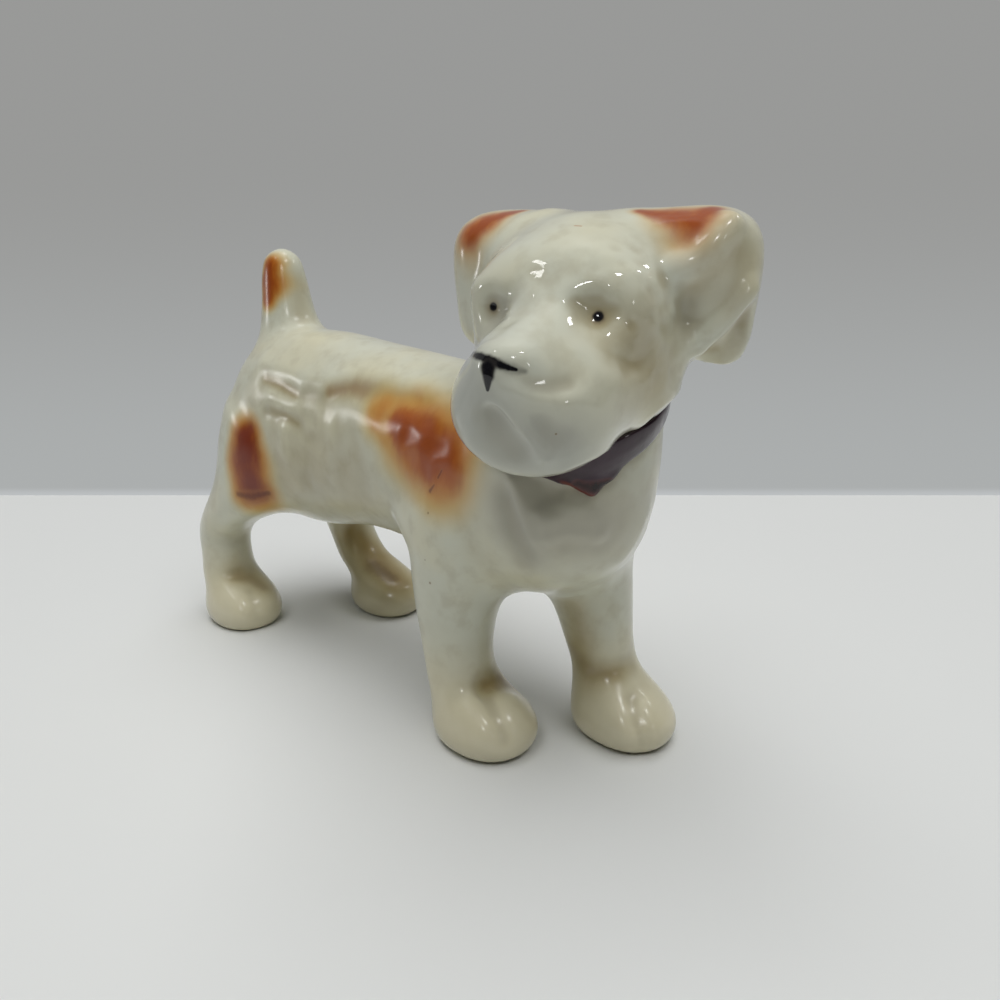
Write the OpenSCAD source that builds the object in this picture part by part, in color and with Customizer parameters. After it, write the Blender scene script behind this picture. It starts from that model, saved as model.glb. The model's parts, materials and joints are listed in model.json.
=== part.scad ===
/* [Torso] */
// Length of the torso from the rump to the front of the chest
torso_l = 66; // [50:1:90]
// Width of the torso across the ribs
torso_w = 20; // [14:0.5:28]
// Height of the back above the ground
back_h = 45; // [38:0.5:56]
// Height of the lowest part of the belly above the ground
belly_h = 19; // [14:0.5:24]

/* [Neck] */
// Thickness of the neck under the collar
neck_d = 17.6; // [13:0.2:24]
// Length of the neck from the lower edge of the collar to its end inside the head
neck_l = 10; // [7:0.5:14]
// Distance from the rump to the middle of the neck at the lower edge of the collar
neck_place_x = 58.9; // [54:0.1:64]
// How far that point lies to the right of the body's middle
neck_place_y = 1.8; // [0:0.1:4]
// Height of that point above the ground
neck_place_h = 40.5; // [37:0.5:46]
// Lean of the neck forward
neck_lean_forward = 18; // [5:1:30]
// Lean of the neck over to the right
neck_lean_right = 36; // [10:1:45]

/* [Head] */
// Length of the skull from the back of the head to the brow
skull_l = 19; // [14:0.5:26]
// Width of the skull between the ears
skull_w = 20.5; // [15:0.5:28]
// Height of the skull from its underside to the crown
skull_h = 17; // [12:0.5:24]
// How far the nose stands out in front of the brow
muzzle_l = 8.4; // [4:0.2:12]
// Width of the bearded muzzle
muzzle_w = 14.5; // [9:0.5:20]
// Height of the bearded muzzle from the chin to the bridge of the nose
muzzle_h = 12; // [7:0.5:16]
// Distance between the eyes
eye_gap = 9.6; // [6:0.2:13]
// Distance from the neck's foot, under the collar, to the middle of the head, along the neck
head_up_neck = 8.8; // [7:0.1:12]
// How far the middle of the head lies in front of the neck's middle line
head_before_neck = 0.9; // [-1:0.1:3]
// How far the middle of the head lies to the left of the neck's middle line
head_left_of_neck = 1.4; // [-1:0.1:3]
// How far the head turns to the right
head_turn = 75; // [0:1:90]

/* [Ears] */
// Distance between the outer edges of the ears
ear_span = 29.8; // [24:0.2:40]
// Drop of an ear from its fold to its tip
ear_drop = 13.6; // [7:0.2:18]
// Width of an ear flap, front to back
ear_w = 9.5; // [5:0.5:14]
// Thickness of an ear flap
ear_t = 7.2; // [4:0.2:8]

/* [Legs] */
// Length of a front paw
fore_paw_l = 13; // [9:0.5:18]
// Width of a front paw
fore_paw_w = 11; // [7:0.5:15]
// Thickness of a foreleg above the paw
fore_ankle_d = 8; // [5:0.2:10]
// Thickness of a foreleg where it meets the shoulder
fore_top_d = 11; // [8:0.5:15]
// Length of a hind paw
hind_paw_l = 12.5; // [8:0.5:17]
// Width of a hind paw
hind_paw_w = 10; // [6:0.5:13]
// Thickness of a hind leg at the hock
hock_d = 6.8; // [4.5:0.2:9]
// Length of the thigh, front to back
thigh_l = 15; // [10:0.5:20]
// Width of the thigh, side to side
thigh_w = 9.5; // [6:0.5:13]
// Height of a paw
paw_h = 6.5; // [4:0.5:9]

/* [Stance] */
// Distance from the rump to the left foreleg, along the body
fore_left_x = 58.4; // [50:0.2:66]
// Distance from the rump to the right foreleg
fore_right_x = 45.8; // [38:0.2:54]
// Distance from the rump to the left hind leg at the ground
hind_left_x = 11; // [4:0.2:20]
// Distance from the rump to the right hind leg at the ground, which stands behind it
hind_right_x = -2.4; // [-6:0.1:6]
// Distance between the middles of the front paws
fore_track = 12.4; // [10:0.2:18]
// Distance between the middles of the hind paws
hind_track = 18; // [12:0.2:22]
// How far the heel of the left front paw lies ahead of the back of its leg
heel_left_in = 0.7; // [0:0.1:3]
// How far the heel of the right front paw lies ahead of the back of its leg
heel_right_in = 2.1; // [0:0.1:3]
// How far the top of the left foreleg lies behind its foot
fore_left_slant = 3.2; // [0:0.2:6]
// How far the top of the right foreleg lies behind its foot
fore_right_slant = 0; // [-2:0.2:4]
// How far the hock of the left hind leg lies behind its foot
hock_left_back = 6.5; // [0:0.5:8]
// How far the hock of the right hind leg lies behind its foot
hock_right_back = 0.9; // [0:0.1:6]
// Distance from the rump to the middle of the haunches, where both hind legs start
haunch_x = 5.5; // [2:0.5:12]

/* [Tail] */
// Height of the tip of the tail above the ground
tail_top_h = 55.8; // [50:0.2:66]
// Thickness of the tail at its root, front to back
tail_root_d = 8; // [5:0.25:11]
// Thickness of the tail near its tip
tail_tip_d = 6.2; // [4:0.1:8]
// Distance from the rump to the middle of the tail
tail_x = 5.8; // [4:0.2:10]

/* [Collar] */
// Height of the collar band
collar_h = 4.5; // [3:0.25:7]
// How far the collar stands out from the neck
collar_t = 0.8; // [0.4:0.1:1.5]
// Length of the point that hangs from the collar in front
collar_point_l = 3.2; // [1:0.2:5]

/* [Hidden] */

// Points round a section of each form, and sections along it
torso_sides = 36;
torso_rings = 30;
limb_sides = 20;
limb_rings = 18;
head_sides = 44;
head_rings = 34;
ear_sides = 18;
ear_rings = 14;
collar_sides = 48;

rump_x = -torso_l / 2;

function mix(a, b, f) = a + (b - a) * f;
function power(v, e) = sign(v) * pow(abs(v), e);
function catmull(a, b, c, d, f) =
    0.5 * (2 * b + (c - a) * f + (2 * a - 5 * b + 4 * c - d) * f * f + (3 * b - a - 3 * c + d) * f * f * f);
// Value at the share t of a table whose rows are evenly spaced, joined by a smooth curve
function along(v, t) =
    let (n = len(v) - 1, s = min(max(t, 0), 1) * n, i = min(floor(s), n - 1))
    catmull(v[max(i - 1, 0)], v[i], v[i + 1], v[min(i + 2, n)], s - i);

// Closed skin over a row of sections that all have the same number of points
module skin(rings) {
    n = len(rings[0]);
    m = len(rings);
    polyhedron([for (r = rings) each r], concat(
        [[for (i = [0 : n - 1]) i]],
        [[for (i = [n - 1 : -1 : 0]) (m - 1) * n + i]],
        [for (j = [0 : m - 2], i = [0 : n - 1])
            let (a = j * n + i, b = j * n + (i + 1) % n)
            each [[a, b + n, b], [a, a + n, b + n]]]));
}

// A section of the torso or neck is its middle, the way from there to the back and the way to the left. The
// power makes it a little fuller than an oval
fullness = 0.92;
function section_point(s, a) = s[0] + power(sin(a), fullness) * s[1] + power(cos(a), fullness) * s[2];

// Back and belly lines as shares of the torso's length and of the depth from belly to back, and the width
// between them as a share of the width across the ribs
back_line_share = [[0.02, 0.62], [0.03, 0.86], [0.09, 0.97], [0.24, 1.00], [0.40, 0.97], [0.55, 0.94],
    [0.67, 0.91], [0.73, 0.91]];
belly_line_share = [[0.00, 0.34], [0.01, 0.08], [0.08, -0.04], [0.24, -0.06], [0.42, 0.03], [0.60, 0.03],
    [0.80, -0.03], [0.95, 0.12]];
torso_width_share = [0.30, 0.80, 0.96, 0.98, 0.92, 0.94, 1.00, 0.98];
function torso_section(i) =
    let (a = back_line_share[i], u = belly_line_share[i], h = back_h - belly_h,
        back = [rump_x + a[0] * torso_l, 0, belly_h + a[1] * h],
        belly = [rump_x + u[0] * torso_l, 0, belly_h + u[1] * h])
    [(back + belly) / 2, (back - belly) / 2, [0, torso_width_share[i] * torso_w / 2, 0]];

// Neck: it leans forward and to the right, under the head
neck_foot = [rump_x + neck_place_x, -neck_place_y, neck_place_h];
neck_way = let (v = [tan(neck_lean_forward), -tan(neck_lean_right), 1]) v / norm(v);
neck_back = let (v = [-1, 0, 0] + neck_way[0] * neck_way) v / norm(v);
neck_left = cross(neck_back, neck_way);
// Section of the neck at the distance l above its foot, with the radius r
function neck_section(l, r) = [neck_foot + l * neck_way, r * neck_back, r * neck_left];

// The breast lies between the last torso section and the neck, and stands out in front
breast_place_share = 0.42;
breast_out_share = 0.05;
breast_section = let (s = mix(torso_section(7), neck_section(0, neck_d / 2), breast_place_share),
        out = [breast_out_share * neck_d, 0, 0])
    [s[0] + out, s[1] - out, s[2]];

neck_place_shares = [0, 0.45, 1];
neck_radius_shares = [1, 0.97, 0.85];
torso_sections = concat([for (i = [0 : 7]) torso_section(i)], [breast_section],
    [for (i = [0 : 2]) neck_section(neck_place_shares[i] * neck_l, neck_radius_shares[i] * neck_d / 2)]);
// Sections are closer together over the rump
rump_gather = 1.15;

module torso_form() {
    n = torso_rings - 1;
    skin([for (k = [0 : n])
        let (s = along(torso_sections, pow(k / n, rump_gather)))
        [for (i = [0 : torso_sides - 1]) section_point(s, 360 * i / torso_sides)]]);
}

// Limb over the point at: level sections from the ground up, each row being [height, half length,
// half width, way forward, way to the left]
function limb(at, table, rings) =
    [for (k = [0 : rings - 1])
        let (s = along(table, k / (rings - 1)))
        [for (i = [0 : limb_sides - 1])
            let (a = 360 * i / limb_sides)
            at + [s[3] + power(cos(a), fullness) * s[1], s[4] + power(sin(a), fullness) * s[2], s[0]]]];

// Rows of a paw as shares of its height, its half length, its half width and its way ahead of the leg
paw_shares = [[0, 0.84, 0.84, 1], [0.15, 0.98, 0.98, 1.02], [0.45, 1, 1, 1], [0.8, 0.86, 0.86, 0.7]];
function paw_rows(l, w, ahead) =
    [for (s = paw_shares) [s[0] * paw_h, s[1] * l / 2, s[2] * w / 2, s[3] * ahead, 0]];

// Rows of a foreleg as shares: height of the belly's height, half length and half width on the way from
// the ankle's thickness to the shoulder's, slant, way in to the shoulder, and way ahead with the heel
foreleg_shares = [[0.38, 0.1, 0.1, -0.1, 0, 0.55], [0.55, 0, 0, 0.2, 0, 0.15], [0.8, 0.5, 0.3, 0.5, 0.2, 0],
    [1.05, 1, 0.7, 0.8, 0.5, 0], [1.4, 1, 0.5, 1, 0.9, 0], [1.75, -0.5, -0.8, 1, 1, 0]];
// Share of half the track by which a shoulder lies nearer the body's middle than its paw
shoulder_in_share = 0.2;
function foreleg_form(x, side, slant, heel_in) =
    let (r = fore_ankle_d / 2, q = fore_top_d / 2, y = side * fore_track / 2)
    limb([rump_x + x, y, 0], concat(
        paw_rows(fore_paw_l, fore_paw_w, fore_paw_l / 2 - r + heel_in),
        [for (s = foreleg_shares)
            [s[0] * belly_h, mix(r, q, s[1]), mix(r, q, s[2]), s[5] * heel_in - s[3] * slant,
                -s[4] * shoulder_in_share * y]]),
        limb_rings);

// Rows of a hind leg as shares: height of the belly's height, half length and half width on the way from
// the hock's thickness to the thigh's, way from foot to hock, way from hock to haunch, and way in
hindleg_shares = [[0.38, 0.08, 0.25, 0.4, 0, 0], [0.53, 0, 0, 0.75, 0, 0], [0.72, 0.02, 0.1, 1, 0, 0.1],
    [0.88, 0.33, 0.45, 1, 0.26, 0.3], [1.03, 0.75, 0.9, 1, 0.65, 0.6], [1.25, 1.08, 1, 1, 1, 0.9],
    [1.6, 0.75, 0.6, 1, 1, 1.3], [1.95, -0.1, -0.9, 1, 1, 1.6]];
haunch_in_share = 0.24;
function hindleg_form(x, side, hock_back) =
    let (r = hock_d / 2, y = side * hind_track / 2, hock = -hock_back, haunch = haunch_x - x)
    limb([rump_x + x, y, 0], concat(
        paw_rows(hind_paw_l, hind_paw_w, hind_paw_l / 2 - r),
        [for (s = hindleg_shares)
            [s[0] * belly_h, mix(r, thigh_l / 2, s[1]), mix(r, thigh_w / 2, s[2]),
                s[3] * hock + s[4] * (haunch - hock), -s[5] * haunch_in_share * y]]),
        limb_rings + 2);

// Rows of the tail as shares: height of its height over the back, fullness, and way forward of its root's
// thickness
tail_shares = [[-0.6, 1.06, 0.15], [-0.07, 1.08, 0.05], [0.3, 0.98, 0], [0.62, 0.93, -0.04],
    [0.88, 0.77, -0.05], [1, 0.15, -0.05]];
tail_width_share = 0.94;
function tail_form() =
    limb([rump_x + tail_x, 0, 0], [for (s = tail_shares)
        let (r = mix(tail_root_d, tail_tip_d, s[0]) / 2 * s[1])
        [back_h + s[0] * (tail_top_h - back_h), r, r * tail_width_share, s[2] * tail_root_d, 0]], limb_rings);

// Head: balls of clay pressed together, each [middle, half sizes] from the middle of the head, which
// looks along x
function ball(p, m, r) =
    let (q = p - m, a = norm([q[0] / r[0], q[1] / r[1], q[2] / r[2]]),
        b = norm([q[0] / pow(r[0], 2), q[1] / pow(r[1], 2), q[2] / pow(r[2], 2)]))
    a < 0.001 ? -min(r) : a * (a - 1) / b;
function merge(a, b, k) = let (h = max(k - abs(a - b), 0) / k) min(a, b) - h * h * k / 4;
function clay(p, i = 0) =
    i == len(head_balls) - 1 ? ball(p, head_balls[i][0], head_balls[i][1])
    : merge(ball(p, head_balls[i][0], head_balls[i][1]), clay(p, i + 1), blend_r);

// How softly the balls run into one another
blend_r = skull_l * 0.15;
brow_x = skull_l * 0.42;
nose_x = brow_x + muzzle_l;
skull_ball = [[-skull_l * 0.06, 0, skull_h * 0.12], [skull_l * 0.49, skull_w * 0.47, skull_h * 0.5]];
brow_ball = [[brow_x - skull_l * 0.14, 0, skull_h * 0.18], [skull_l * 0.15, skull_w * 0.38, skull_h * 0.24]];
jaw_ball = [[skull_l * 0.04, 0, -skull_h * 0.2], [skull_l * 0.44, skull_w * 0.47, skull_h * 0.36]];
beard_ball = [[nose_x - muzzle_l * 0.9, 0, -muzzle_h * 0.42], [muzzle_l * 0.9, muzzle_w / 2, muzzle_h / 2]];
bridge_ball = [[nose_x - muzzle_l * 0.98, 0, -muzzle_h * 0.13],
    [muzzle_l * 1.05, muzzle_w * 0.25, muzzle_h * 0.26]];
head_balls = [skull_ball, brow_ball, jaw_ball, beard_ball, bridge_ball];
// Eye sockets pressed into the clay
socket_r = eye_gap * 0.2;
socket_place = [brow_x + socket_r, eye_gap / 2, skull_h * 0.15];
function socket(p) =
    norm([p[0] - socket_place[0], abs(p[1]) - socket_place[1], p[2] - socket_place[2]]) - socket_r;
function face(p) = -merge(-clay(p), socket(p), socket_r);

head_centre = [skull_l * 0.1, 0, -skull_h * 0.04];
// Distance from the head's centre to its surface in the direction d, halving the search k times
function reach(d, lo, hi, k) =
    let (mid = (lo + hi) / 2)
    k == 0 ? let (a = face(head_centre + lo * d), b = face(head_centre + hi * d)) lo + (hi - lo) * a / (a - b)
    : face(head_centre + mid * d) < 0 ? reach(d, mid, hi, k - 1) : reach(d, lo, mid, k - 1);

// The head sits on the neck, and goes with it
head_place = neck_foot + head_up_neck * neck_way - head_before_neck * neck_back
    + head_left_of_neck * neck_left;
// Place on the dog of a point that is given from the middle of the head
function on_dog(p) = head_place + [p[0] * cos(head_turn) + p[1] * sin(head_turn),
    p[1] * cos(head_turn) - p[0] * sin(head_turn), p[2]];

module head_form() {
    skin([for (j = [0 : head_rings])
        let (lat = -89 + 178 * j / head_rings)
        [for (i = [0 : head_sides - 1])
            let (a = 360 * i / head_sides, d = [sin(lat), cos(lat) * cos(a), cos(lat) * sin(a)])
            on_dog(head_centre + reach(d, 0, skull_l, 7) * d)]]);
}

// Ear: a thick flap that leaves the crown sideways, folds over and hangs against the cheek. Its sections
// are [out, up, half width, half thickness, slope of the flap]
ear_top = skull_h * 0.65;
ear_back_share = 0.24;
function ear_form(side) =
    let (o = ear_span / 2, w = ear_w / 2, t = ear_t / 2,
        table = [
            [skull_w * 0.15, ear_top - t * 0.8, w * 0.6, t * 0.5, 90],
            [skull_w * 0.38, ear_top - t * 0.75, w * 0.9, t * 0.72, 85],
            [o - t * 1.05, ear_top - t * 0.95, w, t * 0.95, 50],
            [o - t, ear_top - ear_drop * 0.38, w, t, 5],
            [o - t, ear_top - ear_drop * 0.62, w * 0.9, t * 0.93, -3],
            [o - t * 0.85, ear_top - ear_drop * 0.85, w * 0.68, t * 0.7, -8],
            [o - t * 0.75, ear_top - ear_drop, w * 0.12, t * 0.12, -8]])
    [for (k = [0 : ear_rings])
        let (s = along(table, k / ear_rings))
        [for (i = [0 : ear_sides - 1])
            let (a = -side * 360 * i / ear_sides)
            on_dog([cos(a) * s[2] - skull_l * ear_back_share, side * (s[0] + sin(a) * s[3] * cos(s[4])),
                s[1] + sin(a) * s[3] * sin(s[4])])]];

// Collar: a band round the neck with a point hanging in front, as shares of its height and thickness
collar_shares = [[0, 0.06], [0.1, 0.8], [0.5, 1], [0.9, 0.8], [1, 0.06]];
collar_point_at = 217.5;
collar_point_spread = 24;
module collar_form() {
    skin([for (row = collar_shares)
        [for (i = [0 : collar_sides - 1])
            let (a = 360 * i / collar_sides,
                down = row[0] < 0.5 ? max(0, 1 - abs(a - collar_point_at) / collar_point_spread) : 0,
                s = neck_section(row[0] * collar_h - down * collar_point_l, neck_d / 2 + row[1] * collar_t))
            s[0] + sin(a) * s[1] + cos(a) * s[2]]]);
}

// The origin lies under the middle of the whole dog: the left ear and the hocks are its ends, and the nose
// or beard and the left thigh its sides
function outermost(b) =
    on_dog(b[0]) - [0, norm([b[1][0] * sin(head_turn), b[1][1] * cos(head_turn)]), 0];
outer_points = [
    each for (r = ear_form(1)) r, each for (r = ear_form(-1)) r,
    each for (r = hindleg_form(hind_left_x, 1, hock_left_back)) r,
    each for (r = hindleg_form(hind_right_x, -1, hock_right_back)) r,
    outermost(beard_ball), outermost(bridge_ball)];
function middle(i) =
    let (v = [for (p = outer_points) p[i]]) (min(v) + max(v)) / 2;
module place() { translate([-middle(0), -middle(1), 0]) children(); }

module torso() { color("Ivory") place() torso_form(); }
module head() { color("Ivory") place() difference() { head_form(); torso_form(); } }
module ear(side) {
    color("Ivory") place() difference() { skin(ear_form(side)); head_form(); torso_form(); collar_form(); }
}
module foreleg(x, side, slant, heel_in) {
    color("Ivory") place() difference() { skin(foreleg_form(x, side, slant, heel_in)); torso_form(); }
}
module hindleg(x, side, hock_back) {
    color("Ivory") place() difference() { skin(hindleg_form(x, side, hock_back)); torso_form(); }
}
module tail() { color("Ivory") place() difference() { skin(tail_form()); torso_form(); } }
module collar() { color("Purple") place() difference() { collar_form(); torso_form(); head_form(); } }

torso();
head();
ear(1);  // ear_left
ear(-1);  // ear_right
foreleg(fore_left_x, 1, fore_left_slant, heel_left_in);  // foreleg_left
foreleg(fore_right_x, -1, fore_right_slant, heel_right_in);  // foreleg_right
hindleg(hind_left_x, 1, hock_left_back);  // hindleg_left
hindleg(hind_right_x, -1, hock_right_back);  // hindleg_right
tail();
collar();
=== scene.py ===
"""Looks of a porcelain dog figurine: a glazed skin over the pieces of clay that its maker luted.

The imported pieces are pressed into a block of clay, joined softly, worked with a modelling tool
where the photograph shows hair, lids, lips and folds, and skinned. The skin is then cut along the
joins again, so that each piece of the figurine has its own closed mesh, and painted and glazed
with node materials. The collar is skinned by itself. Lengths in this script are in millimetres,
except the studio's, which are in metres. MM turns millimetres into metres.
"""

import json
import logging
import math
from dataclasses import dataclass, field, replace
from enum import Enum

import bpy
import numpy as np
import openvdb
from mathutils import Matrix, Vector

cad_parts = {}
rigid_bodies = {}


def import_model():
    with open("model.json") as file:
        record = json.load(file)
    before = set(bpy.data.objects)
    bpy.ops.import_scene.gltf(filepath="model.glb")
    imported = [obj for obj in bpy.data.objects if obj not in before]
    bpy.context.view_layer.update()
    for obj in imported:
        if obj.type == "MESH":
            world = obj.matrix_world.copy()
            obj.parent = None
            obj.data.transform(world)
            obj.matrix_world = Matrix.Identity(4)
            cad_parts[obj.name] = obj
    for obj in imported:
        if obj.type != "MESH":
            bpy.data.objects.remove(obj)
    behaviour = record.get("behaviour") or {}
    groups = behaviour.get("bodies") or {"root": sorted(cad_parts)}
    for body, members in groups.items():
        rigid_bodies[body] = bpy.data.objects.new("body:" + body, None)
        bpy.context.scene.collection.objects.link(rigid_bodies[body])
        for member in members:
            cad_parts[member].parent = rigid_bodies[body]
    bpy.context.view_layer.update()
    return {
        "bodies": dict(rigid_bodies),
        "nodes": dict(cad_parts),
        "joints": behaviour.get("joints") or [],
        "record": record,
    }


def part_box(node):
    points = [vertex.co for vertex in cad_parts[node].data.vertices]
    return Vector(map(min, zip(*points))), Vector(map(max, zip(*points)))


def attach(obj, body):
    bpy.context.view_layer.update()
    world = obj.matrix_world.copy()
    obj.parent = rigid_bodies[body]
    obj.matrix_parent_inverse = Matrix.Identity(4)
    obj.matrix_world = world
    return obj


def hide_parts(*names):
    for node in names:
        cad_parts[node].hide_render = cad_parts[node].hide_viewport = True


MM = 0.001
TINY = 1e-12
# Share of the way along a brush's press that doesn't count in the distance from the brush
FLATTEN = 0.6
# A step in pixels that is too long for points between two given pixels
GIVEN_PIXELS_ONLY = 1e6
# Steps that bring a mirrored point onto the clay
MIRROR_STEPS = 4
LOG = logging.getLogger("porcelain_dog")

Pixel = tuple[float, float]
Point = tuple[float, float, float]
Colour = tuple[float, float, float]


# ---------------------------------------------------------------- the photograph's eye


@dataclass(frozen=True)
class PhotoEye:
    """Where the phone stood, and the way that a pixel of the photograph looks from there."""

    place: Point = (70.116, -58.435, 55.0)
    azimuth: float = 42.5
    pitch: float = 18.0
    focal_px: float = 760.0
    picture_px: float = 1000.0
    sensor: float = 36.0
    nearest: float = 5.0
    farthest: float = 20000.0

    def axes(self) -> tuple[np.ndarray, np.ndarray, np.ndarray]:
        """Returns the ways to the right, up and forward of the eye."""
        turn, dip = math.radians(self.azimuth), math.radians(self.pitch)
        right = np.array([math.cos(turn), math.sin(turn), 0.0])
        level = math.cos(dip)
        forward = np.array([-math.sin(turn) * level, math.cos(turn) * level, -math.sin(dip)])
        return right, np.cross(right, forward), forward

    def rays(self, pixels: np.ndarray) -> np.ndarray:
        """Ways in which pixels look.

        Args:
            pixels: rows of x and y in the picture, from its upper left corner.

        Returns:
            A unit vector for each row.
        """
        right, up, forward = self.axes()
        middle = self.picture_px / 2
        way = (
            forward * self.focal_px
            + right * (pixels[:, :1] - middle)
            - up * (pixels[:, 1:] - middle)
        )
        return way / np.linalg.norm(way, axis=1, keepdims=True)

    def camera(self) -> bpy.types.Object:
        """Returns the camera that sees what the phone saw."""
        lens = bpy.data.cameras.new("photo_eye")
        lens.sensor_width = self.sensor
        lens.lens = self.focal_px / self.picture_px * self.sensor
        lens.clip_start, lens.clip_end = self.nearest * MM, self.farthest * MM
        camera = bpy.data.objects.new("photo_eye", lens)
        camera.location = Vector(self.place) * MM
        camera.rotation_euler = (math.radians(90 - self.pitch), 0.0, math.radians(self.azimuth))
        bpy.context.scene.collection.objects.link(camera)
        bpy.context.scene.camera = camera
        return camera


# ---------------------------------------------------------------- clay


class Tool(Enum):
    """What a stroke of the modelling tool does to the clay."""

    PRESS = 1.0
    LAY_ON = -1.0
    WIPE = 0.0


@dataclass(frozen=True)
class Stroke:
    """One stroke of the modelling tool, over what the photograph shows at its pixels.

    Args:
        way: pixels of the photograph that the tool passes over.
        width: distance from the middle of the stroke at which most of it has faded.
        depth: how far the clay moves in the middle, or how often it is wiped.
        tool: whether clay is pressed in, laid on or wiped smooth.
        paired: whether the other, unseen side of the dog gets the same stroke.
    """

    way: tuple[Pixel, ...]
    width: float
    depth: float
    tool: Tool = Tool.PRESS
    paired: bool = False


@dataclass(frozen=True)
class Scoops:
    """A patch of scoops that stand for fur.

    Args:
        over: pixel of the photograph under which they are deepest.
        reach: how far they reach from there along each axis.
        grain: twice the distance from scoop to scoop.
        amount: usual depth of a scoop.
        seed: which set of scoops.
    """

    over: Pixel
    reach: Point
    grain: float
    amount: float
    seed: int


def along_axes(rows: list[np.ndarray]) -> list[np.ndarray]:
    """Turns a row of numbers for each axis into arrays that can be broadcast together.

    Args:
        rows: the rows for x, y and z.

    Returns:
        The same numbers, each row along its own axis of three.
    """
    return [row.reshape([-1 if j == i else 1 for j in range(3)]) for i, row in enumerate(rows)]


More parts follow.
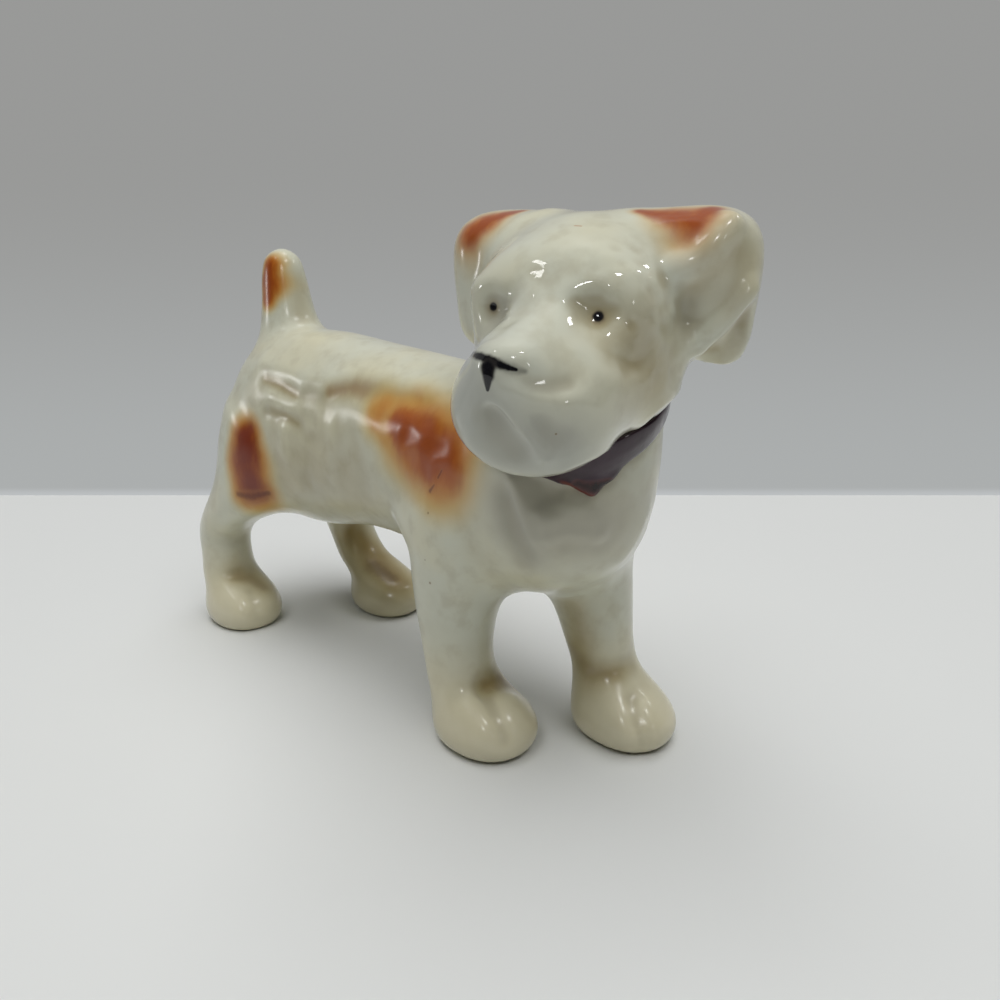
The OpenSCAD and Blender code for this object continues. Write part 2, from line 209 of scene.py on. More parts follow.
class Clay:
    """A block of clay kept as distances to its surface: below zero inside, above zero outside."""

    # A tool's touch is followed this many of its widths away
    TOUCH_REACH = 2.4
    # Scoops: how much their sizes differ, how round the ridges between them are, the deepest and
    # the mean depth, and where they end, as a squared share of their reach
    SCOOP_SPREAD = 0.4
    RIDGE_ROUNDING = 0.02
    DEEPEST_SCOOP = 1.6
    MEAN_SCOOP = 0.75
    SCOOPS_END = 1.25
    # The least squared slope by which a point's distance is divided when it settles
    LEAST_SLOPE = 0.05
    # A ray starts this far from the eye, and then steps on by a share of the distance, at least
    # by the least step, until it is near enough
    SEEK_START = 30.0
    SEEK_STEPS = 160
    SEEK_SHARE = 0.8
    LEAST_STEP = 0.01
    NEAR_ENOUGH = 0.004

    def __init__(self, low: np.ndarray, pitch: float, depth: np.ndarray) -> None:
        """Keeps the block.

        Args:
            low: the block's lowest corner.
            pitch: distance between neighbouring values.
            depth: the distances, with one axis for each of x, y and z.
        """
        self.low, self.pitch, self.depth = low, pitch, depth

    @classmethod
    def pressed(
        cls,
        node: bpy.types.Object,
        low: np.ndarray,
        shape: tuple[int, ...],
        pitch: float,
        band: float,
    ) -> "Clay":
        """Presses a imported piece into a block.

        Args:
            node: the piece's mesh object.
            low: the block's lowest corner.
            shape: number of values along x, y and z.
            pitch: distance between neighbouring values.
            band: the largest distance that is kept.

        Returns:
            The block.
        """
        mesh = node.data
        mesh.calc_loop_triangles()
        points = np.empty(len(mesh.vertices) * 3, np.float32)
        mesh.vertices.foreach_get("co", points)
        corners = np.empty(len(mesh.loop_triangles) * 3, np.int32)
        mesh.loop_triangles.foreach_get("vertices", corners)
        grid = openvdb.FloatGrid.createLevelSetFromPolygons(
            (points.reshape(-1, 3) / MM - low).astype(np.float32),
            triangles=corners.reshape(-1, 3).astype(np.uint32),
            transform=openvdb.createLinearTransform(pitch),
            halfWidth=band / pitch,
        )
        depth = np.empty(shape, np.float32)
        grid.copyToArray(depth)
        return cls(low, pitch, depth)

    def copy(self) -> "Clay":
        """Returns a block of its own with the same distances."""
        return Clay(self.low, self.pitch, self.depth.copy())

    def lute(self, other: "Clay", softness: float) -> "Clay":
        """Joins another piece on, with a fillet of slip.

        Args:
            other: the piece, in a block of the same size.
            softness: width of the fillet.

        Returns:
            This block.
        """
        near = np.maximum(softness - np.abs(self.depth - other.depth), 0) / softness
        self.depth = np.minimum(self.depth, other.depth) - near * near * (softness / 4)
        return self

    def soften(self, rounds: int) -> "Clay":
        """Wipes the clay with a wet sponge, which takes off small edges.

        Args:
            rounds: number of wipes.

        Returns:
            This block.
        """
        for _ in range(rounds):
            for axis in range(3):
                d = np.moveaxis(self.depth, axis, 0)
                wiped = d.copy()
                wiped[1:-1] = d[1:-1] * 0.5 + (d[:-2] + d[2:]) * 0.25
                self.depth = np.moveaxis(wiped, 0, axis)
        self.depth = np.ascontiguousarray(self.depth)
        return self

    def make_room(self, other: "Clay", amount: float, reach: float) -> None:
        """Presses the clay in round a piece of another colour, so that this stands proud.

        Args:
            other: the piece, in a block of the same size.
            amount: how far the clay moves in under the piece.
            reach: distance from the piece at which most of the press has faded.
        """
        press = amount * np.exp(-((np.maximum(other.depth, 0) / reach) ** 2))
        self.depth += press.astype(np.float32)

    def stand_on(self, height: float) -> "Clay":
        """Cuts off everything below a level plane.

        Args:
            height: the plane's height.

        Returns:
            This block.
        """
        z = self.low[2] + self.pitch * np.arange(self.depth.shape[2])
        self.depth = np.maximum(self.depth, (height - z).astype(np.float32))
        return self

    def block(
        self, low: np.ndarray, high: np.ndarray
    ) -> tuple[tuple[slice, ...], list[np.ndarray]]:
        """Part of the block between two corners.

        Args:
            low: the lowest corner.
            high: the highest corner.

        Returns:
            Slices of the distances, and the places along each axis, ready to be broadcast.
        """
        size = np.array(self.depth.shape)
        first = np.clip(np.floor((low - self.low) / self.pitch).astype(int), 0, size - 1)
        last = np.clip(np.ceil((high - self.low) / self.pitch).astype(int) + 1, 1, size)
        where = tuple(slice(a, b) for a, b in zip(first, last))
        rows = [self.low[i] + self.pitch * np.arange(first[i], last[i]) for i in range(3)]
        return where, along_axes(rows)

    def under_tool(self, way: np.ndarray, width: float) -> tuple[tuple[slice, ...], np.ndarray]:
        """How much the tool touches the clay along a row of points.

        Args:
            way: the points.
            width: distance from the way at which most of the touch has faded.

        Returns:
            Slices of the distances, and the touch from 0 to 1 in that part of the block.
        """
        reach = self.TOUCH_REACH * width
        where, (x, y, z) = self.block(way.min(0) - reach, way.max(0) + reach)
        nearest = np.full(np.broadcast_shapes(x.shape, y.shape, z.shape), np.inf)
        ends = way[1:] if len(way) > 1 else way
        for start, end in zip(way, ends):
            run = end - start
            dx, dy, dz = x - start[0], y - start[1], z - start[2]
            length = max(float(run @ run), TINY)
            t = np.clip((dx * run[0] + dy * run[1] + dz * run[2]) / length, 0, 1)
            gap = (dx - t * run[0]) ** 2 + (dy - t * run[1]) ** 2 + (dz - t * run[2]) ** 2
            nearest = np.minimum(nearest, gap)
        return where, np.exp(-nearest / width**2).astype(np.float32)

    def work(self, way: np.ndarray, width: float, amount: float) -> None:
        """Draws the tool along a row of points.

        Args:
            way: the points.
            width: distance from the way at which most of the stroke has faded.
            amount: how far the surface moves in, or out where it is below zero.
        """
        where, touch = self.under_tool(way, width)
        self.depth[where] += amount * touch

    def wipe(self, way: np.ndarray, width: float, rounds: int) -> None:
        """Wipes the clay smooth along a row of points.

        Args:
            way: the points.
            width: distance from the way at which most of the wipe has faded.
            rounds: number of wipes.
        """
        where, touch = self.under_tool(way, width)
        wiped = Clay(self.low, self.pitch, self.depth[where].copy()).soften(rounds)
        self.depth[where] += (wiped.depth - self.depth[where]) * touch

    def scoop(self, low: np.ndarray, high: np.ndarray, middle: np.ndarray, fur: Scoops) -> None:
        """Leaves shallow scoops with ridges between them, as a modelling tool leaves for fur.

        Args:
            low: lowest corner of the part.
            high: highest corner of the part.
            middle: where the scoops are deepest.
            fur: the scoops.
        """
        where, places = self.block(low, high)
        shape = self.depth[where].shape
        noise = np.fft.rfftn(np.random.default_rng(fur.seed).standard_normal(shape))
        rates = [np.fft.fftfreq(n, self.pitch) for n in shape[:2]]
        rates.append(np.fft.rfftfreq(shape[2], self.pitch))
        rate = np.sqrt(sum(row**2 for row in along_axes(rates)))
        kept = np.exp(-(((rate * fur.grain - 1) / self.SCOOP_SPREAD) ** 2))
        waves = np.fft.irfftn(noise * kept, shape, axes=(0, 1, 2))
        waves /= max(float(waves.std()), TINY)
        rounded = np.sqrt(waves**2 + self.RIDGE_ROUNDING)
        scoops = np.minimum(rounded, self.DEEPEST_SCOOP) - self.MEAN_SCOOP
        away = sum(((p - m) / r) ** 2 for p, m, r in zip(places, middle, fur.reach))
        share = np.clip(self.SCOOPS_END - away, 0, 1)
        self.depth[where] += (fur.amount * scoops * share).astype(np.float32)

    def sample(self, points: np.ndarray) -> np.ndarray:
        """Distances at free points.

        Args:
            points: one row for each point.

        Returns:
            A distance for each row.
        """
        last_cell = np.array(self.depth.shape) - 1.001
        at = np.clip((points - self.low) / self.pitch, 0, last_cell)
        cell = at.astype(int)
        i, j, k = cell.T
        u, v, w = (at - cell).T
        d = self.depth

        def on_level(k: np.ndarray) -> np.ndarray:
            """Returns the distances on level k of each point's cell."""
            front = d[i, j, k] * (1 - u) + d[i + 1, j, k] * u
            back = d[i, j + 1, k] * (1 - u) + d[i + 1, j + 1, k] * u
            return front * (1 - v) + back * v

        return on_level(k) * (1 - w) + on_level(k + 1) * w

    def slope(self, points: np.ndarray) -> np.ndarray:
        """Ways in which the distance grows fastest.

        Args:
            points: one row for each point.

        Returns:
            A vector for each row, which has the length one where the distances are true ones.
        """
        steps = np.eye(3) * self.pitch
        rises = [self.sample(points + s) - self.sample(points - s) for s in steps]
        return np.stack([rise / (2 * self.pitch) for rise in rises], axis=1)

    def settle(self, points: np.ndarray, rounds: int = 2) -> np.ndarray:
        """Moves points onto the surface.

        Args:
            points: points near the surface.
            rounds: number of steps.

        Returns:
            The moved points.
        """
        for _ in range(rounds):
            slope = self.slope(points)
            steepness = np.maximum((slope**2).sum(1), self.LEAST_SLOPE)
            points = points - slope * (self.sample(points) / steepness)[:, None]
        return points

    def seek(self, start: np.ndarray, ways: np.ndarray) -> np.ndarray:
        """Where rays meet the surface.

        Args:
            start: where all rays start.
            ways: a unit vector for each ray.

        Returns:
            A point for each ray. One that misses ends where it passes nearest to the surface.
        """
        run = np.full(len(ways), self.SEEK_START)
        best, best_gap = run.copy(), np.full(len(ways), np.inf)
        for _ in range(self.SEEK_STEPS):
            gap = self.sample(start + ways * run[:, None])
            closer = gap < best_gap
            best[closer], best_gap[closer] = run[closer], gap[closer]
            step = np.maximum(gap * self.SEEK_SHARE, self.LEAST_STEP)
            run = np.where(gap > self.NEAR_ENOUGH, run + step, run)
        return start + ways * best[:, None]


# ---------------------------------------------------------------- skin


@dataclass
class Cut:
    """One piece of the skin with the caps that close it, ready to become a mesh."""

    points: np.ndarray
    faces: list[tuple[int, ...]]
    corner_normals: np.ndarray
    bend: np.ndarray


class Skin:
    """The figurine's whole surface as four-sided faces, with its borders between the pieces."""

    # How far inside the skin a cap's rim lies
    CAP_DEPTH = 0.9
    # Faces that tell whether the skin faces outwards
    PROBED_FACES = 400
    # Steps in which new points settle on the clay, and slide apart on it
    SETTLING = 3
    EVENING = 6
    # How often distances are averaged, and votes are held, when the faces are shared out. A face
    # with fewer neighbours of its own piece than it needs goes to the piece of most of them.
    AVERAGES = 10
    VOTES = 12
    NEEDED_NEIGHBOURS = 2
    ISLAND_ROUNDS = 4
    # Rounds in which a border is evened, with steps on it and beside it, and how far the skin
    # beside it follows, in points
    BORDER_ROUNDS = 12
    STEPS_ON_BORDER = 2
    STEPS_BESIDE_BORDER = 3
    BORDER_REACH = 5
    # Wipes of the clay that the normals are read from, and of that which shows its hollows
    NORMAL_WIPES = 2
    HOLLOW_WIPES = 12

    def __init__(self, clay: Clay) -> None:
        """Skins a block of clay.

        Args:
            clay: the finished block.
        """
        self.clay = clay
        grid = openvdb.FloatGrid(float(clay.depth.max()))
        grid.transform = openvdb.createLinearTransform(clay.pitch)
        grid.copyFromArray(clay.depth)
        points, quads = grid.convertToQuads(0.0)[:2]
        self.points = points.astype(float) + clay.low
        self.quads = quads.astype(np.int64)
        probed = self.points[self.quads[: self.PROBED_FACES]]
        a, b, c = (probed[:, i] for i in range(3))
        if (np.cross(b - a, c - a) * clay.slope(probed.mean(1))).sum() < 0:
            self.quads = self.quads[:, ::-1].copy()
        sides = np.stack([self.quads, np.roll(self.quads, -1, 1)], -1).reshape(-1, 2)
        key = sides.min(1) * len(self.points) + sides.max(1)
        order = np.argsort(key, kind="stable")
        self.edges = sides[order[::2]]
        self.beside = np.stack([order[::2] // 4, order[1::2] // 4], 1)
        self.points = clay.settle(self.points, self.SETTLING)
        self.even(self.EVENING, np.ones(len(self.points), bool))

    def spread(self, values: np.ndarray, edges: np.ndarray | None = None) -> np.ndarray:
        """Mean of each point's neighbours.

        Args:
            values: a value or a row for each point.
            edges: the pairs of neighbours, or none for all of the skin's.

        Returns:
            The means, in the same shape. A point without neighbours keeps its value.
        """
        edges = self.edges if edges is None else edges
        flat = values.reshape(len(values), -1)
        count = np.bincount(edges.ravel(), minlength=len(flat)).astype(float)
        a, b = edges.T
        size = len(flat)
        columns = [
            np.bincount(a, column[b], size) + np.bincount(b, column[a], size) for column in flat.T
        ]
        sums = np.stack(columns, 1)
        mean = np.where(count[:, None] > 0, sums / np.maximum(count, 1)[:, None], flat)
        return mean.reshape(values.shape)

    def even(self, rounds: int, free: np.ndarray, edges: np.ndarray | None = None) -> None:
        """Slides points along the surface until they are evenly spaced.

        Args:
            rounds: number of steps.
            free: which points may slide.
            edges: the pairs of neighbours, or none for all of the skin's.
        """
        for _ in range(rounds):
            moved = self.points + 0.5 * (self.spread(self.points, edges) - self.points)
            self.points[free] = self.clay.settle(moved[free], 1)

    def share_out(self, pieces: list[Clay]) -> np.ndarray:
        """Gives each face to the piece that lies nearest to it.

        Args:
            pieces: the pieces as they were before they were joined.

        Returns:
            The number of its piece for each face.
        """
        gaps = np.stack([piece.sample(self.points) for piece in pieces], 1)
        for _ in range(self.AVERAGES):
            gaps = self.spread(gaps)
        owner = gaps[self.quads].mean(1).argmin(1)
        a, b = self.beside.T
        for _ in range(self.VOTES):
            votes = np.zeros((len(owner), len(pieces)))
            np.add.at(votes, (a, owner[b]), 1)
            np.add.at(votes, (b, owner[a]), 1)
            lost = votes[np.arange(len(owner)), owner] < self.NEEDED_NEIGHBOURS
            owner = np.where(lost, votes.argmax(1), owner)
        return self.without_islands(owner)

    def without_islands(self, owner: np.ndarray) -> np.ndarray:
        """Keeps one patch of skin for each piece, and gives smaller ones to their neighbours.

        Args:
            owner: the number of its piece for each face.

        Returns:
            The same with its islands given away.
        """
        for _ in range(self.ISLAND_ROUNDS):
            a, b = self.beside[owner[self.beside[:, 0]] == owner[self.beside[:, 1]]].T
            group = np.arange(len(owner))
            while True:
                low = np.minimum(group[a], group[b])
                before = group.copy()
                np.minimum.at(group, a, low)
                np.minimum.at(group, b, low)
                group = group[group]
                if (group == before).all():
                    break
            size = np.bincount(group, minlength=len(owner))
            largest = np.zeros(owner.max() + 1, int)
            np.maximum.at(largest, owner, size[group])
            stray = size[group] < largest[owner]
            if not stray.any():
                break
            for f, g in np.concatenate([self.beside, self.beside[:, ::-1]]):
                if stray[f] and not stray[g]:
                    owner[f] = owner[g]
        return owner

    def cut(self, owner: np.ndarray) -> dict[int, Cut]:
        """Cuts the skin along its borders, evens these, and closes each piece.

        Args:
            owner: the number of its piece for each face.

        Returns:
            The closed pieces by number.
        """
        split = owner[self.beside[:, 0]] != owner[self.beside[:, 1]]
        border = self.edges[split]
        on_border = np.zeros(len(self.points), bool)
        on_border[border.ravel()] = True
        near = on_border.astype(float)
        for _ in range(self.BORDER_REACH):
            near = np.maximum(near, self.spread(near))
        for _ in range(self.BORDER_ROUNDS if len(border) else 0):
            self.even(self.STEPS_ON_BORDER, on_border, border)
            self.even(self.STEPS_BESIDE_BORDER, (near > 0) & ~on_border)
        slope = self.clay.copy().soften(self.NORMAL_WIPES).slope(self.points)
        normals = slope / np.linalg.norm(slope, axis=1, keepdims=True)
        wiped = self.clay.copy().soften(self.HOLLOW_WIPES)
        bend = wiped.sample(self.points) - self.clay.sample(self.points)
        numbers = np.unique(owner)
        return {int(n): self.close(self.quads[owner == n], normals, bend) for n in numbers}

    @staticmethod
    def openings(quads: np.ndarray) -> list[list[int]]:
        """Finds the openings of a piece of skin.

        Args:
            quads: the piece's faces.

        Returns:
            The points round each opening, in order.
        """
        sides = np.stack([quads, np.roll(quads, -1, 1)], -1).reshape(-1, 2)
        known = {(int(a), int(b)) for a, b in sides}
        after = {}
        for a, b in known:
            if (b, a) not in known:
                after.setdefault(a, []).append(b)
        rings = []
        while after:
            ring, here = [], next(iter(after))
            while here in after:
                ring.append(here)
                onward = after[here].pop()
                if not after[here]:
                    del after[here]
                here = onward
            rings.append(ring)
        return rings

    def close(self, quads: np.ndarray, normals: np.ndarray, bend: np.ndarray) -> Cut:
        """Closes a piece of skin with a cap over each opening.

        Args:
            quads: the piece's faces.
            normals: the skin's normal at each of its points.
            bend: how far each point lies on a ridge, or below zero in a hollow.

        Returns:
            The closed piece.
        """
        used, flat = np.unique(quads, return_inverse=True)
        place = {int(v): i for i, v in enumerate(used)}
        points = list(self.points[used])
        faces = [tuple(quad) for quad in flat.reshape(-1, 4).tolist()]
        corners = [normals[quads].reshape(-1, 3)]
        for ring in self.openings(quads):
            first = len(points)
            points += list(self.points[ring] - self.CAP_DEPTH * normals[ring])
            middle = len(points)
            points.append(np.mean(points[first:], 0))
            outer = [place[v] for v in ring]
            inner = list(range(first, middle))
            for i in range(-1, len(ring) - 1):
                side = (outer[i + 1], outer[i], inner[i], inner[i + 1])
                lid = (inner[i + 1], inner[i], middle)
                for face in (side, lid):
                    faces.append(face)
                    a, b, c = (points[v] for v in face[:3])
                    out = np.cross(b - a, c - a)
                    out /= max(float(np.linalg.norm(out)), TINY)
                    corners.append(np.tile(out, (len(face), 1)))
        cap_bend = np.zeros(len(points) - len(used))
        return Cut(
            np.array(points), faces, np.concatenate(corners), np.concatenate([bend[used], cap_bend])
        )


def mesh_object(name: str, cut: Cut) -> bpy.types.Object:
    """Makes a mesh object of a cut piece.

    Args:
        name: the object's name.
        cut: the closed piece.

    Returns:
        The object, linked to the scene.
    """
    mesh = bpy.data.meshes.new(name)
    mesh.from_pydata((cut.points * MM).tolist(), [], cut.faces)
    mesh.polygons.foreach_set("use_smooth", [True] * len(mesh.polygons))
    bend = mesh.attributes.new("bend", "FLOAT", "POINT")
    bend.data.foreach_set("value", cut.bend.astype(np.float32))
    mesh.normals_split_custom_set(cut.corner_normals.tolist())
    mesh.update()
    piece = bpy.data.objects.new(name, mesh)
    bpy.context.scene.collection.objects.link(piece)
    return piece


# ---------------------------------------------------------------- node groups and finishes


class Sheet:
    """A node tree with short ways to add to it."""

    def __init__(self, tree: bpy.types.NodeTree) -> None:
        """Keeps the tree.

        Args:
            tree: the material's or the group's tree.
        """
        self.tree = tree

    def node(self, kind: str, **values: object) -> bpy.types.Node:
        """Adds a node.

        Args:
            kind: the node's Blender type.
            values: settings by attribute name.

        Returns:
            The node.
        """
        made = self.tree.nodes.new(kind)
        for name, value in values.items():
            setattr(made, name, value)
        return made

    def feed(self, socket: bpy.types.NodeSocket, value: object) -> None:
        """Links a socket to another one, or gives it a value.

        Args:
            socket: the input.
            value: an output, or a plain value.
        """
        if isinstance(value, bpy.types.NodeSocket):
            self.tree.links.new(value, socket)
        elif socket.type == "RGBA":
            socket.default_value = (*value, 1.0)
        else:
            socket.default_value = value

    def sum(self, how: str, *inputs: object) -> bpy.types.NodeSocket:
        """Adds a sum of numbers, held between 0 and 1 if its name ends in CLAMPED.

        Args:
            how: the operation.
            inputs: outputs or numbers.

        Returns:
            Its output.
        """
        operation = how.removesuffix("_CLAMPED")
        made = self.node("ShaderNodeMath", operation=operation, use_clamp=operation != how)
        for socket, value in zip(made.inputs, inputs):
            self.feed(socket, value)
        return made.outputs[0]

    def vector(self, how: str, *inputs: object) -> bpy.types.NodeSocket:
        """Adds a sum of vectors.

        Args:
            how: the operation.
            inputs: outputs, vectors or, for SCALE, the factor as the last one.

        Returns:
            Its vector, or its number for LENGTH and DOT_PRODUCT.
        """
        made = self.node("ShaderNodeVectorMath", operation=how)
        for i, value in enumerate(inputs):
            self.feed(made.inputs["Scale"] if how == "SCALE" and i else made.inputs[i], value)
        return made.outputs["Value" if how in ("LENGTH", "DOT_PRODUCT") else "Vector"]

    def ease(self, value: object, start: object, end: object) -> bpy.types.NodeSocket:
        """Adds a smooth step from 0 at one value to 1 at another.

        Args:
            value: the number that steps.
            start: where the step starts.
            end: where it ends.

        Returns:
            Its output.
        """
        made = self.node("ShaderNodeMapRange", interpolation_type="SMOOTHSTEP")
        for name, given in (("Value", value), ("From Min", start), ("From Max", end)):
            self.feed(made.inputs[name], given)
        return made.outputs[0]

    def blend(self, share: object, first: object, second: object) -> bpy.types.NodeSocket:
        """Adds a blend of two colours.

        Args:
            share: the second colour's share.
            first: the first colour.
            second: the second colour.

        Returns:
            Its colour.
        """
        made = self.node("ShaderNodeMix", data_type="RGBA")
        # the node has sockets of each kind: 0 is the share, 6 and 7 are the colours
        for i, value in ((0, share), (6, first), (7, second)):
            self.feed(made.inputs[i], value)
        return made.outputs[2]

    def noise(self, place: object, scale: float, detail: float = 2.0) -> bpy.types.NodeSocket:
        """Adds a noise.

        Args:
            place: where it is read, in mm.
            scale: lumps for each mm.
            detail: number of finer layers.

        Returns:
            Its value.
        """
        made = self.node("ShaderNodeTexNoise")
        for name, value in (("Vector", place), ("Scale", scale), ("Detail", detail)):
            self.feed(made.inputs[name], value)
        return made.outputs["Fac"]

    def place(self) -> bpy.types.NodeSocket:
        """Returns the place on the object in mm."""
        return self.vector("SCALE", self.node("ShaderNodeTexCoord").outputs["Object"], 1 / MM)

    def group(self, tree: bpy.types.NodeTree, **inputs: object) -> bpy.types.Node:
        """Places a node group.

        Args:
            tree: the group.
            inputs: outputs or values by input name, with _ for a space.

        Returns:
            The group's node.
        """
        made = self.node("ShaderNodeGroup", node_tree=tree)
        for name, value in inputs.items():
            self.feed(made.inputs[name.replace("_", " ")], value)
        return made


def new_group(
    name: str, inputs: dict[str, object], outputs: dict[str, str]
) -> tuple[Sheet, bpy.types.Node, bpy.types.Node]:
    """Starts a node group.

    Args:
        name: the group's name.
        inputs: its inputs' values by name: a number, a vector of three, or a colour of four.
        outputs: its outputs' kinds by name: Float, Color or Vector.

    Returns:
        Its sheet, the node with its inputs and the one with its outputs.
    """
    tree = bpy.data.node_groups.new(name, "ShaderNodeTree")
    for key, value in inputs.items():
        plain = isinstance(value, (int, float))
        kind = "Float" if plain else {3: "Vector", 4: "Color"}[len(value)]
        made = tree.interface.new_socket(key, in_out="INPUT", socket_type=f"NodeSocket{kind}")
        made.default_value = value
    for key, kind in outputs.items():
        tree.interface.new_socket(key, in_out="OUTPUT", socket_type=f"NodeSocket{kind}")
    sheet = Sheet(tree)
    return sheet, sheet.node("NodeGroupInput"), sheet.node("NodeGroupOutput")


class Effects:
    """The effects that several finishes share, each a node group that is built once."""

    # The least squared length of a brush's way
    SHORTEST = 1e-6
    # Where paint turns from its edge to its body, and from its body to its heart, in shares of the
    # brush's width, and how streaky the heart is
    BODY_FROM, BODY_FULL = 1.25, 0.40
    HEART_FROM, HEART_FULL = 0.95, 0.10
    STREAKINESS = 1.3
    # Lumps for each mm in the glaze's two tints, in its mottle, and in its pools with their painted
    # shade
    CLOUDS, MOTTLES, POOL_LUMPS = 0.09, 0.42, 0.5
    MOTTLING = 0.30
    # How far below a ridge's mean the clay lies where the pooled glaze and its painted shade are
    # full, in mm
    POOL_SHADE_AT = -0.2
    POOL_SHADE_UNEVENNESS = -0.06
    # Specks: cells for each mm, the share of cells without one, and the sizes
    SPECK_CELLS, SPECK_RARITY = 0.42, 0.66
    SPECK_RIM, SPECK_HEART = 0.10, 0.04
    # The glaze's ripple: lumps for each mm in its waves and wavelets, and the latter's height
    WAVES, WAVELETS, WAVELET_HEIGHT = 0.45, 1.6, 0.35

    def __init__(self) -> None:
        """Builds the groups."""
        self.reach = self.brush_reach()
        self.paint = self.fired_paint()
        self.fire = self.fired_glaze()
        self.ripple = self.glaze_ripple()

    @staticmethod
    def brush_reach() -> bpy.types.NodeTree:
        """Returns a group for the distance from a brush's way, as a share of its half width there.

        The distance along Press, the way in which the brush is pressed on, counts for less, so
        that the paint follows a bulging surface.
        """
        inputs = {"Start": (0, 0, 0), "Run": (0, 0, 1), "Press": (0, 0, 0)}
        inputs |= {"Start width": 1.0, "End width": 1.0}
        sheet, given, out = new_group("Brush reach", inputs, {"Reach": "Float"})
        g = given.outputs
        out_from = sheet.vector("SUBTRACT", sheet.place(), g["Start"])
        deep = sheet.sum("MULTIPLY", sheet.vector("DOT_PRODUCT", out_from, g["Press"]), FLATTEN)
        flat = sheet.vector("SUBTRACT", out_from, sheet.vector("SCALE", g["Press"], deep))
        squared = sheet.vector("DOT_PRODUCT", g["Run"], g["Run"])
        length = sheet.sum("MAXIMUM", squared, Effects.SHORTEST)
        share = sheet.sum("DIVIDE_CLAMPED", sheet.vector("DOT_PRODUCT", flat, g["Run"]), length)
        along = sheet.vector("SCALE", g["Run"], share)
        gap = sheet.vector("LENGTH", sheet.vector("SUBTRACT", flat, along))
        spare = sheet.sum("SUBTRACT", g["End width"], g["Start width"])
        width = sheet.sum("MULTIPLY_ADD", share, spare, g["Start width"])
        sheet.feed(out.inputs["Reach"], sheet.sum("DIVIDE", gap, width))
        return sheet.tree

    @staticmethod
    def fired_paint() -> bpy.types.NodeTree:
        """Returns a group for paint sunk into the glaze: thin at its edge, streaky in its heart."""
        inputs = {"Base": (0.6, 0.6, 0.5, 1), "Reach": 1.0, "Fade": 0.3, "Ragged": 0.4}
        inputs |= {"Grain": 1.0, "Strength": 1.0, "Edge": (0.6, 0.4, 0.2, 1)}
        inputs |= {"Body": (0.5, 0.2, 0.05, 1), "Heart": (0.3, 0.1, 0.02, 1)}
        sheet, given, out = new_group("Fired paint", inputs, {"Colour": "Color"})
        g = given.outputs
        place = sheet.vector("SCALE", sheet.place(), g["Grain"])
        rough = sheet.sum("SUBTRACT", sheet.noise(place, 1.0, 3.0), 0.5)
        away = sheet.sum("MULTIPLY_ADD", rough, g["Ragged"], g["Reach"])
        outer = sheet.sum("ADD", 1.0, g["Fade"])
        mark = sheet.ease(away, outer, sheet.sum("SUBTRACT", 1.0, g["Fade"]))
        inner = sheet.ease(away, Effects.BODY_FROM, Effects.BODY_FULL)
        drawn_out = sheet.vector("MULTIPLY", place, (1.6, 1.6, 0.6))
        streak = sheet.sum("SUBTRACT", sheet.noise(drawn_out, 2.2, 4.0), 0.5)
        streaked = sheet.sum("MULTIPLY_ADD", streak, Effects.STREAKINESS, away)
        heart = sheet.ease(streaked, Effects.HEART_FROM, Effects.HEART_FULL)
        paint = sheet.blend(heart, sheet.blend(inner, g["Edge"], g["Body"]), g["Heart"])
        mask = sheet.sum("MULTIPLY", mark, g["Strength"])
        sheet.feed(out.inputs["Colour"], sheet.blend(mask, g["Base"], paint))
        return sheet.tree

    @staticmethod
    def fired_glaze() -> bpy.types.NodeTree:
        """Returns a group for glaze that is darker in hollows, as pooled glaze and as painted
        shade, and has small fired specks.
        """
        inputs = {"Cool": (0.6, 0.6, 0.5, 1), "Warm": (0.6, 0.6, 0.5, 1)}
        inputs |= {"Pool": (0.4, 0.3, 0.2, 1), "Speck": (0.1, 0.05, 0.02, 1)}
        inputs |= {"Pooling": 0.6, "Specks": 0.5}
        outputs = {"Colour": "Color", "Pooled": "Float"}
        sheet, given, out = new_group("Fired glaze", inputs, outputs)
        g = given.outputs
        place = sheet.place()
        cloud = sheet.ease(sheet.noise(place, Effects.CLOUDS, 3.0), 0.36, 0.66)
        colour = sheet.blend(cloud, g["Cool"], g["Warm"])
        mottle = sheet.ease(sheet.noise(place, Effects.MOTTLES, 3.0), 0.46, 0.72)
        colour = sheet.blend(sheet.sum("MULTIPLY", mottle, Effects.MOTTLING), colour, g["Pool"])
        # Pooled glaze and painted shade: darker where the clay lies below the mean of its wiped
        # ridges
        bend = sheet.node("ShaderNodeAttribute", attribute_name="bend").outputs["Fac"]
        lumps = sheet.noise(place, Effects.POOL_LUMPS)
        uneven = sheet.sum("MULTIPLY_ADD", lumps, Effects.POOL_SHADE_UNEVENNESS, bend)
        pool_shaded = sheet.ease(uneven, 0.0, Effects.POOL_SHADE_AT)
        pool_shaded = sheet.sum("MULTIPLY_CLAMPED", pool_shaded, g["Pooling"])
        colour = sheet.blend(pool_shaded, colour, g["Pool"])
        cells = sheet.node("ShaderNodeTexVoronoi")
        sheet.feed(cells.inputs["Vector"], place)
        sheet.feed(cells.inputs["Scale"], Effects.SPECK_CELLS)
        seat = cells.outputs["Position"]
        chance = sheet.noise(sheet.vector("SCALE", seat, 0.7), 1.0, 0.0)
        rare = sheet.sum("GREATER_THAN", chance, Effects.SPECK_RARITY)
        size = sheet.noise(seat, 3.0, 0.0)
        rim = sheet.sum("MULTIPLY", size, Effects.SPECK_RIM)
        core = sheet.sum("MULTIPLY", size, Effects.SPECK_HEART)
        speck = sheet.ease(cells.outputs["Distance"], rim, core)
        speck = sheet.sum("MULTIPLY", sheet.sum("MULTIPLY", speck, rare), g["Specks"])
        sheet.feed(out.inputs["Colour"], sheet.blend(speck, colour, g["Speck"]))
        sheet.feed(out.inputs["Pooled"], pool_shaded)
        return sheet.tree

